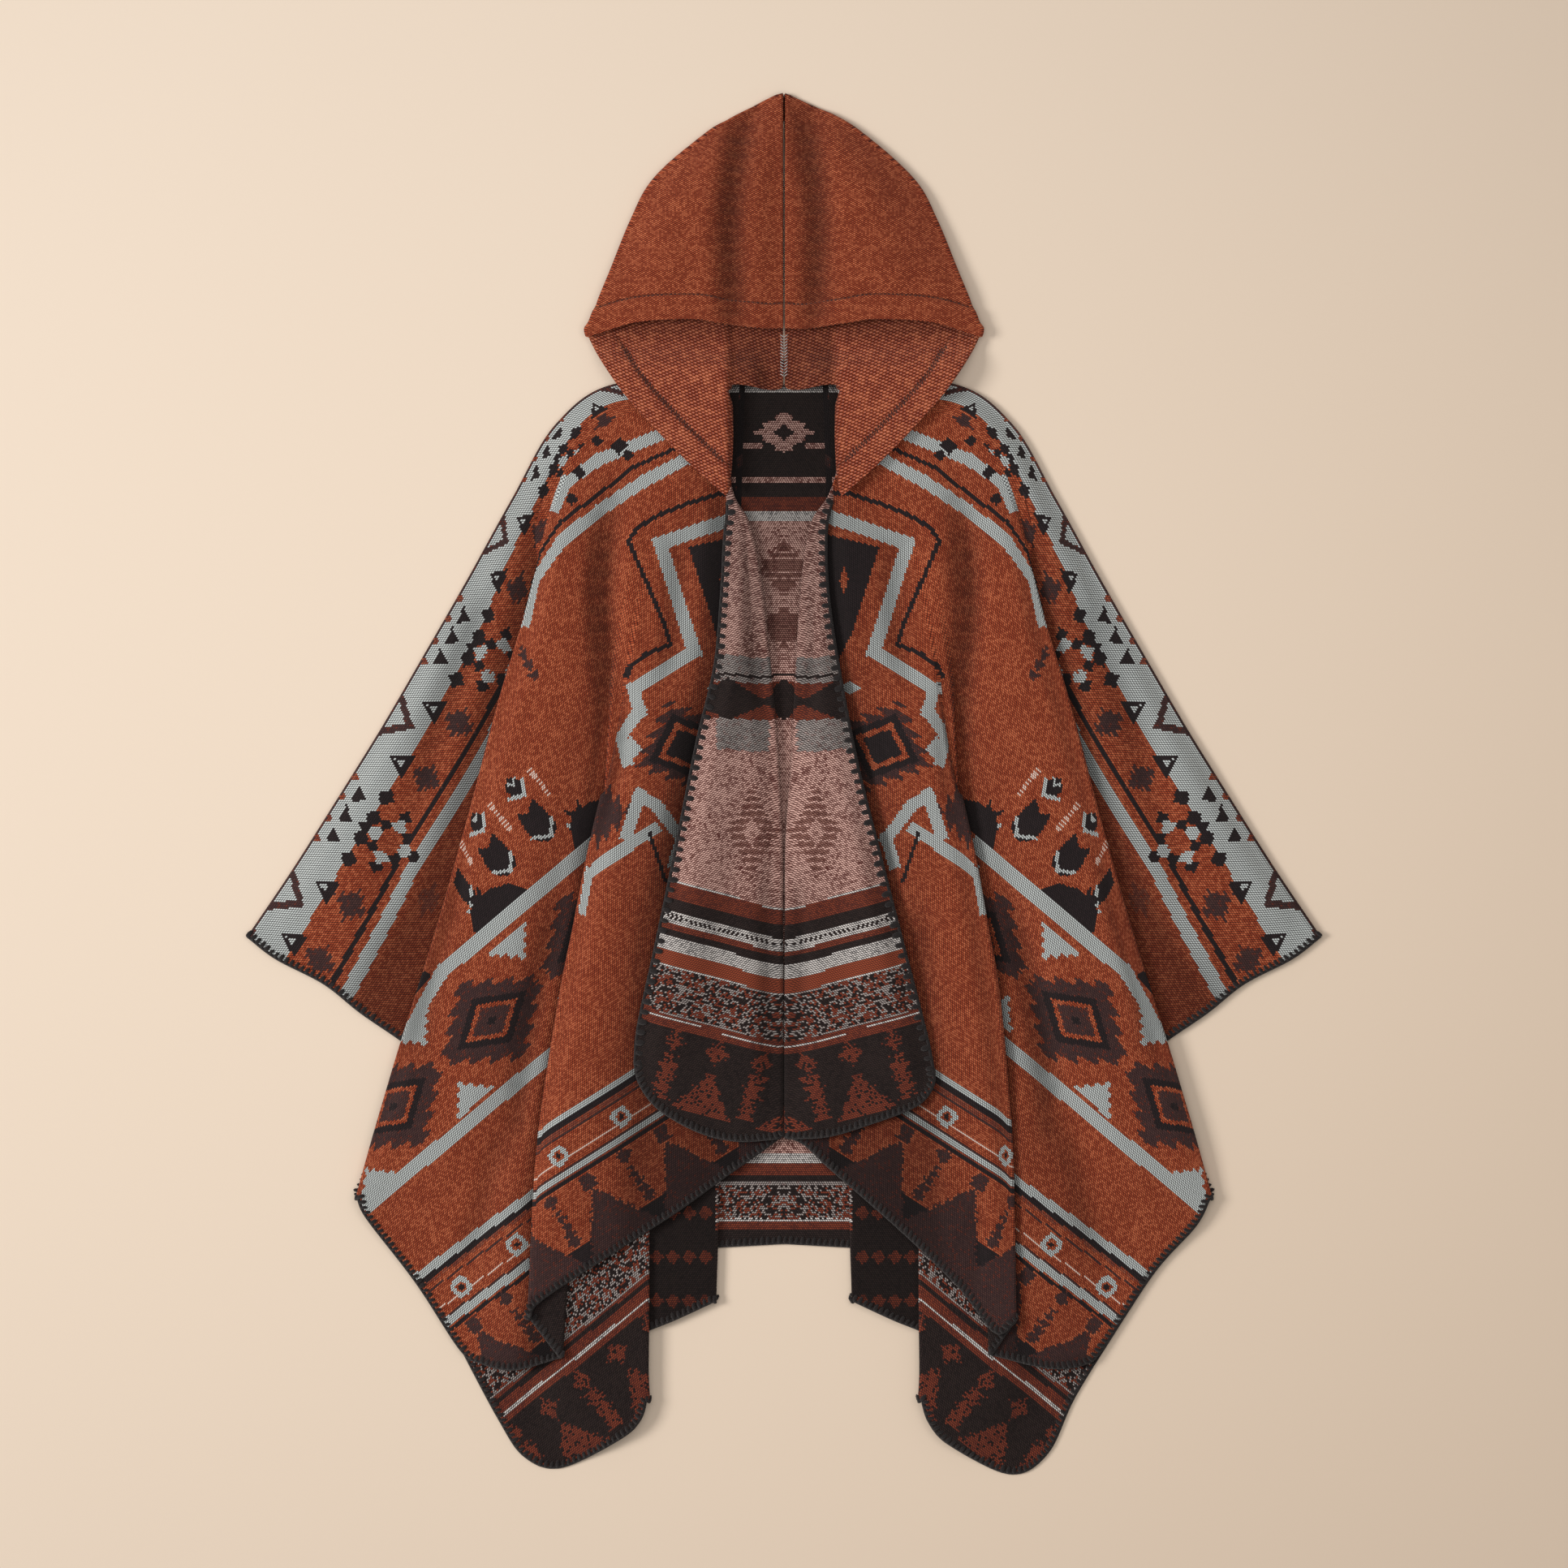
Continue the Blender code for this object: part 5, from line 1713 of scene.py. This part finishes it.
class StitchTree:
    """Geometry Nodes that set yarn stitches along lines, or draw one cord along them."""

    KINDS = {float: "NodeSocketFloat", int: "NodeSocketInt", type(None): "NodeSocketMaterial"}

    def __init__(self, name: str, **sockets: float | int | None) -> None:
        """Starts a tree with named inputs.

        Args:
            name: The tree's name.
            sockets: Each input's default, or nothing for a material.
        """
        self.tree = bpy.data.node_groups.new(name, "GeometryNodeTree")
        face = self.tree.interface
        face.new_socket("Geometry", in_out="INPUT", socket_type="NodeSocketGeometry")
        self.keys = {}
        for label, default in sockets.items():
            socket = face.new_socket(label, in_out="INPUT", socket_type=self.KINDS[type(default)])
            if default is not None:
                socket.default_value = default
            self.keys[label] = socket.identifier
        face.new_socket("Geometry", in_out="OUTPUT", socket_type="NodeSocketGeometry")
        self.start = self.tree.nodes.new("NodeGroupInput")
        self.end = self.tree.nodes.new("NodeGroupOutput")

    def node(self, kind: str, settings: dict | None = None, out: int | str = 0, **inputs: object) -> object:
        """One output of a new node, which add_node makes."""
        return add_node(self.tree, kind, settings, inputs).outputs[out]

    def attribute(self, name: str) -> object:
        """A vector that the guide carries."""
        return self.node("GeometryNodeInputNamedAttribute", {"data_type": "FLOAT_VECTOR"}, Name=name)

    def spaced(self) -> object:
        """The lines, with a point at every pitch."""
        given = self.start.outputs
        curve = self.node("GeometryNodeMeshToCurve", Mesh=given["Geometry"])
        return self.node("GeometryNodeResampleCurve", {"mode": "LENGTH"}, Curve=curve, Length=given["Pitch"])

    def close(self, shape: object) -> None:
        """Ends the tree: real mesh, smooth, with its yarn."""
        real = self.node("GeometryNodeRealizeInstances", Geometry=shape)
        soft = self.node("GeometryNodeSetShadeSmooth", Geometry=real)
        dressed = self.node("GeometryNodeSetMaterial", Geometry=soft, Material=self.start.outputs["Yarn"])
        self.tree.links.new(dressed, self.end.inputs[0])

    @classmethod
    def stitches(cls) -> "StitchTree":
        """The tree that sets a yarn loop at every pitch along the lines."""
        made = cls("stitch_row", Pitch=0.008, Length=0.008, Width=0.004, Height=0.002, Seed=1, Yarn=None)
        given, even = made.start.outputs, made.spaced()
        loop = made.node("GeometryNodeMeshUVSphere", Segments=8, Rings=5, Radius=0.5)
        turn = made.node("FunctionNodeAlignRotationToVector", {"axis": "X"}, Vector=made.attribute("lean"))
        turn = made.node("FunctionNodeAlignRotationToVector", {"axis": "Z", "pivot_axis": "X"}, Rotation=turn,
                         Vector=made.attribute("up"))
        sway = made.node("FunctionNodeRandomValue", {"data_type": "FLOAT"}, 1, i2=-0.16, i3=0.16, Seed=given["Seed"])
        turn = made.node("FunctionNodeRotateRotation", {"rotation_space": "LOCAL"}, Rotation=turn,
                         Rotate_By=made.node("ShaderNodeCombineXYZ", Z=sway))
        size = made.node("ShaderNodeCombineXYZ", X=given["Length"], Y=given["Width"], Z=given["Height"])
        vary = made.node("FunctionNodeRandomValue", {"data_type": "FLOAT"}, 1, i2=0.82, i3=1.15, Seed=given["Seed"])
        size = made.node("ShaderNodeVectorMath", {"operation": "SCALE"}, i0=size, Scale=vary)
        set_in = made.node("GeometryNodeInstanceOnPoints", Points=even, Instance=loop, Rotation=turn, Scale=size)
        made.close(set_in)
        return made

    @classmethod
    def cord(cls) -> "StitchTree":
        """The tree that draws one thin cord along the lines."""
        made = cls("edge_cord", Radius=0.0018, Pitch=0.004, Yarn=None)
        given, even = made.start.outputs, made.spaced()
        ring = made.node("GeometryNodeCurvePrimitiveCircle", Resolution=7, Radius=given["Radius"])
        tube = made.node("GeometryNodeCurveToMesh", Curve=even, Profile_Curve=ring, Fill_Caps=True)
        made.close(tube)
        return made


@dataclass
class Sewing:
    """Yarn set along the lines of one piece, gathered into one mesh.

    Attributes:
        name: The piece's name.
        parts: The meshes made so far.
    """

    name: str
    parts: list[Piece] = field(default_factory=list)

    def run(self, tree: StitchTree, guides: list[Guide], **sizes: object) -> None:
        """Sends guides through a tree.

        Args:
            tree, guides: The tree, and the lines to follow.
            sizes: The tree's inputs by name.
        """
        verts, edges, lean, up = [], [], [], []
        for guide in guides:
            first = len(verts)
            verts += [tuple(point * MM) for point in guide.points]
            edges += [(first + k, first + k + 1) for k in range(len(guide.points) - 1)]
            lean.append(guide.lean)
            up.append(guide.up)
        mesh = bpy.data.meshes.new("guide")
        mesh.from_pydata(verts, edges, [])
        for label, values in (("lean", lean), ("up", up)):
            carried = mesh.attributes.new(label, "FLOAT_VECTOR", "POINT")
            carried.data.foreach_set("vector", np.concatenate(values).ravel())
        piece = placed("guide", mesh)
        sewn = piece.modifiers.new("Stitches", "NODES")
        sewn.node_group = tree.tree
        for label, value in sizes.items():
            sewn[tree.keys[label]] = value
        self.parts.append(baked(piece))

    def joined(self) -> Piece:
        """All the yarn of the piece as one mesh object."""
        whole = bmesh.new()
        finishes = []
        for part in self.parts:
            before = len(whole.faces)
            whole.from_mesh(part.data)
            finish = part.data.materials[part.data.polygons[0].material_index]
            if finish not in finishes:
                finishes.append(finish)
            whole.faces.ensure_lookup_table()
            for face in whole.faces[before:]:
                face.material_index = finishes.index(finish)
            bpy.data.objects.remove(part)
        mesh = bpy.data.meshes.new(self.name)
        whole.to_mesh(mesh)
        whole.free()
        for finish in finishes:
            mesh.materials.append(finish)
        return placed(self.name, mesh)


class Trim:
    """The yarn edging and the hood's seams."""

    HEM_IN, LAPEL_IN = 3.2, 4.0
    OVERLOCK_Y, OVERLOCK_HALF = 448, 24
    FURTHER = 6
    ON_TOP = CLOTH / 2 + 0.35

    def __init__(self) -> None:
        """Makes the trees and the yarns."""
        self.stitch, self.cord = StitchTree.stitches(), StitchTree.cord()
        self.black = self.yarn("black_yarn", (0.006, 0.005, 0.005), (0.024, 0.018, 0.019))
        self.brown = self.yarn("brown_thread", (0.025, 0.007, 0.006), (0.13, 0.035, 0.026))
        self.white = self.yarn("overlock_thread", (0.30, 0.27, 0.27), (0.75, 0.72, 0.70))

    def yarn(self, name: str, shade: tuple, lit: tuple) -> Finish:
        """A twisted yarn.

        Args:
            name: The finish's name.
            shade, lit: The colours between the strands and on them.

        Returns:
            The material.
        """
        g = Graph(name)
        spot = g.node("ShaderNodeTexCoord", None, "Object")
        strands = g.node("ShaderNodeTexWave", {"bands_direction": "DIAGONAL"}, "Fac", Vector=spot, Scale=420.0,
                         Distortion=2.5, Detail=1.0)
        fuzz = g.node("ShaderNodeTexNoise", None, "Fac", Vector=spot, Scale=900.0, Detail=2.0)
        colour = g.mix(strands * 0.6 + fuzz * 0.5 - 0.1, shade, lit)
        g.finish(colour, 0.85 - strands * 0.1, g.bump(strands + fuzz * 0.5, 0.0008, 0.7), 0.15, (1.0, 0.95, 0.92))
        return g.material

    def blanket(self, sewing: Sewing, edge: Array, inner: Array, lapel: bool, seed: int) -> None:
        """Sews a blanket stitch over an edge, with its cord.

        Args:
            sewing: The piece that it joins.
            edge, inner: Points along the edge, and one further in for each.
            lapel: Whether it has the lapel's wider, rounder stitches.
            seed: The seed of its unevenness.
        """
        pitch, length, width = (10.8, 10.4, 6.0) if lapel else (6.0, 8.8, 4.2)
        guide = Guide.of(edge, inner, self.LAPEL_IN if lapel else self.HEM_IN, self.ON_TOP, 0.0 if lapel else 0.25)
        self.seam(sewing, guide, (pitch, length, width, 2.6), seed, self.black)
        rim = Guide.of(edge, inner, 0.2, 0.0)
        sewing.run(self.cord, [rim], Radius=1.95 * MM, Pitch=4.0 * MM, Yarn=self.black)

    def hem(self, sewing: Sewing, layers: list[Layer], further: int, seed: int) -> None:
        """Edges the last row of layers. A row a little further from the end gives the stitches' lean."""
        edge, inner = (np.concatenate([layer.points[-k] for layer in layers]) for k in (1, further))
        self.blanket(sewing, edge, inner, False, seed)

    def front(self, name: str, layers: list[Layer], folded: Array) -> Piece:
        """Edges one front.

        Args:
            name: left or right.
            layers: The front's layers.
            folded: How far the lapel is turned at each row.

        Returns:
            The yarn.
        """
        sewing = Sewing(f"edging_{name}")
        self.hem(sewing, layers, 4, 3 if name == "left" else 4)
        lapel = layers[-1].points[np.nonzero(folded > 0.5)[0][0]:]
        self.blanket(sewing, lapel[:, -1], lapel[:, -5], True, 5 if name == "left" else 6)
        return sewing.joined()

    def back(self, layers: list[Layer]) -> Piece:
        """The yarn along the back's hem."""
        sewing = Sewing("edging_back")
        self.hem(sewing, layers, 3, 7)
        return sewing.joined()

    def seam(self, sewing: Sewing, guide: Guide, sizes: tuple[float, float, float, float], seed: int,
             yarn: Finish) -> None:
        """Sews one row of stitches: pitch, length, width and height in millimetres."""
        pitch, length, width, height = (size * MM for size in sizes)
        sewing.run(self.stitch, [guide], Pitch=pitch, Length=length, Width=width, Height=height, Seed=seed, Yarn=yarn)

    def hood(self, name: str, hood: Hood, layers: list[Layer]) -> Piece:
        """Stitches the hems of one half of the hood.

        Args:
            name: left or right.
            hood: The half.
            layers: Its layers.

        Returns:
            The thread.
        """
        under, _, over = layers
        sewing = Sewing(f"hood_stitches_{name}")
        top, top_in = over.points[hood.corner:], over.band[hood.corner:, :, 1]
        face, inner = contour(top, top_in, hood.hem), contour(top, top_in, hood.hem + self.FURTHER)
        count = min(len(face), len(inner))
        guide = Guide.of(face[:count], inner[:count], 0.0, CLOTH / 2 + 0.1)
        guide.lean = unit(np.gradient(face[:count], axis=0))
        self.seam(sewing, guide, (4.6, 3.6, 1.6, 1.3), 8, self.brown)
        low, low_in = under.points[:hood.corner + 1], under.band[:hood.corner + 1, :, 1]
        for step in (hood.hem - 1.6, hood.hem + 1.8):
            edge, inner = contour(low, low_in, step), contour(low, low_in, step + self.FURTHER)
            count = min(len(edge), len(inner))
            guide = Guide.of(edge[-count:], inner[-count:], 0.0, CLOTH / 2 + 0.15, 0.9)
            self.seam(sewing, guide, (4.0, 4.6, 1.7, 1.3), 9, self.brown)
        inside = under.points[np.abs(under.points[:, 0, 1] - self.OVERLOCK_Y) < self.OVERLOCK_HALF]
        guide = Guide.of(inside[:, 0], inside[:, 2], 1.2, CLOTH / 2 + 0.5, 0.7)
        self.seam(sewing, guide, (3.1, 4.8, 1.0, 0.9), 10, self.white)
        return sewing.joined()


class Studio:
    """The plain pale floor with painted shade over it, soft lights and the camera straight above."""

    LENS, SENSOR = 85.0, 36.0
    FRAME_WIDTH = 1.642
    FLOOR_HALF = 3.0
    LIGHT = (1.0, 0.98, 0.96)

    def build(self, centre: Pair) -> None:
        """Makes the whole studio.

        Args:
            centre: Where the photograph's middle lies on the floor.
        """
        height = self.FRAME_WIDTH * self.LENS / self.SENSOR
        camera_data = bpy.data.cameras.new("overhead")
        camera_data.lens, camera_data.sensor_width = self.LENS, self.SENSOR
        camera = placed("overhead", camera_data)
        camera.location = (*centre, height)
        bpy.context.scene.camera = camera
        self.floor()
        self.light("key", (-4.7, 0.5, 3.7), 2.0, 255.0)
        self.light("fill", (0.1, 0.1, 1.9), 1.8, 17.0)
        bpy.context.scene.view_settings.view_transform = "Standard"
        world = bpy.data.worlds.new("studio")
        bpy.context.scene.world = world
        world.use_nodes = True
        sky = world.node_tree.nodes["Background"].inputs
        sky["Color"].default_value, sky["Strength"].default_value = (1.0, 0.96, 0.92, 1.0), 0.27

    def light(self, name: str, place: tuple, size: float, power: float) -> None:
        """Makes a soft square light that faces the poncho.

        Args:
            name: The light's name.
            place, size: Where it hangs and its side, in metres.
            power: Its power in watts.
        """
        data = bpy.data.lights.new(name, "AREA")
        data.size, data.energy, data.color = size, power, self.LIGHT
        lamp = placed(name, data)
        lamp.location = place
        lamp.rotation_euler = (-Vector(place)).to_track_quat("-Z", "Y").to_euler()

    def floor(self) -> None:
        """Makes the floor, with painted shade that darkens it towards the lower right."""
        half = self.FLOOR_HALF
        mesh = bpy.data.meshes.new("floor")
        mesh.from_pydata([(-half, -half, 0), (half, -half, 0), (half, half, 0), (-half, half, 0)], [], [(0, 1, 2, 3)])
        floor = placed("floor", mesh)
        g = Graph("studio_paper")
        spot = g.node("ShaderNodeTexCoord", None, "Object")
        # Painted shade: the floor's colour darkens towards the lower right.
        across = g.vector("DOT_PRODUCT", spot, (0.42, -0.3, 0.0), out=1) + 0.5
        colour = g.mix(g.math("SMOOTH_MIN", across | 0.0, 1.0, 0.2), (0.80, 0.68, 0.56), (0.74, 0.60, 0.47))
        grain = g.node("ShaderNodeTexNoise", None, "Fac", Vector=spot, Scale=180.0)
        g.finish(colour, 0.9, g.bump(grain, 0.0004, 0.1), 0.0, (1.0, 1.0, 1.0))
        mesh.materials.append(g.material)


def shifted(pieces: list[Piece]) -> Pair:
    """Moves the pieces' meshes together so that their box is centred and stands on the floor.

    Args:
        pieces: Every piece.

    Returns:
        Where the table's middle has gone.
    """
    clouds = []
    for piece in pieces:
        places = np.empty(len(piece.data.vertices) * 3)
        piece.data.vertices.foreach_get("co", places)
        clouds.append(places.reshape(-1, 3))
    every = np.concatenate(clouds)
    low, high = every.min(axis=0), every.max(axis=0)
    move = np.array((-(low[0] + high[0]) / 2, -(low[1] + high[1]) / 2, -low[2]))
    for piece, cloud in zip(pieces, clouds):
        piece.data.vertices.foreach_set("co", (cloud + move).ravel())
        piece.data.update()
    return float(move[0]), float(move[1])


def main() -> None:
    """Builds the poncho, dresses it and lights it."""
    logging.basicConfig(level=logging.INFO, format="%(message)s")
    cloths, trim = Cloths(), Trim()
    pile = Pile()
    back = Back().layers(pile)
    pieces = {}
    finishes = [*[cloths.returns] * 3, cloths.wrong, cloths.back_inside, cloths.returns, cloths.tails, cloths.wrong,
                cloths.returns]
    pieces["back_cloth"] = wall("back_cloth", back, False, finishes)
    pieces["edging_back"] = trim.back(back)
    LOG.info("back laid")
    tallest = pile.height
    for name in ("left", "right"):
        own = Pile(pile.height)
        front = Front(name)
        layers = front.layers(own)
        finishes = [cloths.wing, cloths.body, cloths.inner, *[cloths.wrong] * 4, cloths.lapel, cloths.wrong]
        pieces[f"front_cloth_{name}"] = wall(f"front_cloth_{name}", layers, name == "left", finishes)
        pieces[f"edging_{name}"] = trim.front(name, layers, front.turned.folded)
        tallest = np.maximum(tallest, own.height)
        LOG.info("%s front laid", name)
    pile.height = tallest
    for name in ("left", "right"):
        hood = Hood(name)
        layers = hood.layers(pile)
        finishes = [cloths.hood, cloths.hood, cloths.hood_inside, cloths.hood_inside, cloths.hood]
        pieces[f"hood_cloth_{name}"] = wall(f"hood_cloth_{name}", layers, name == "right", finishes,
                                            (hood.corner, hood.lower))
        pieces[f"hood_stitches_{name}"] = trim.hood(name, hood, layers)
        LOG.info("%s half of the hood laid", name)
    Studio().build(shifted(list(pieces.values())))
    for piece in pieces.values():
        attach(piece, "root")
    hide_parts("back_panel")
    for name in ("left", "right"):
        front, edging, hood, stitches = (f"front_cloth_{name}", f"edging_{name}", f"hood_cloth_{name}",
                                         f"hood_stitches_{name}")
        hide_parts(f"front_{name}")
        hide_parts(f"hood_{name}")


if __name__ == "__main__":
    main()
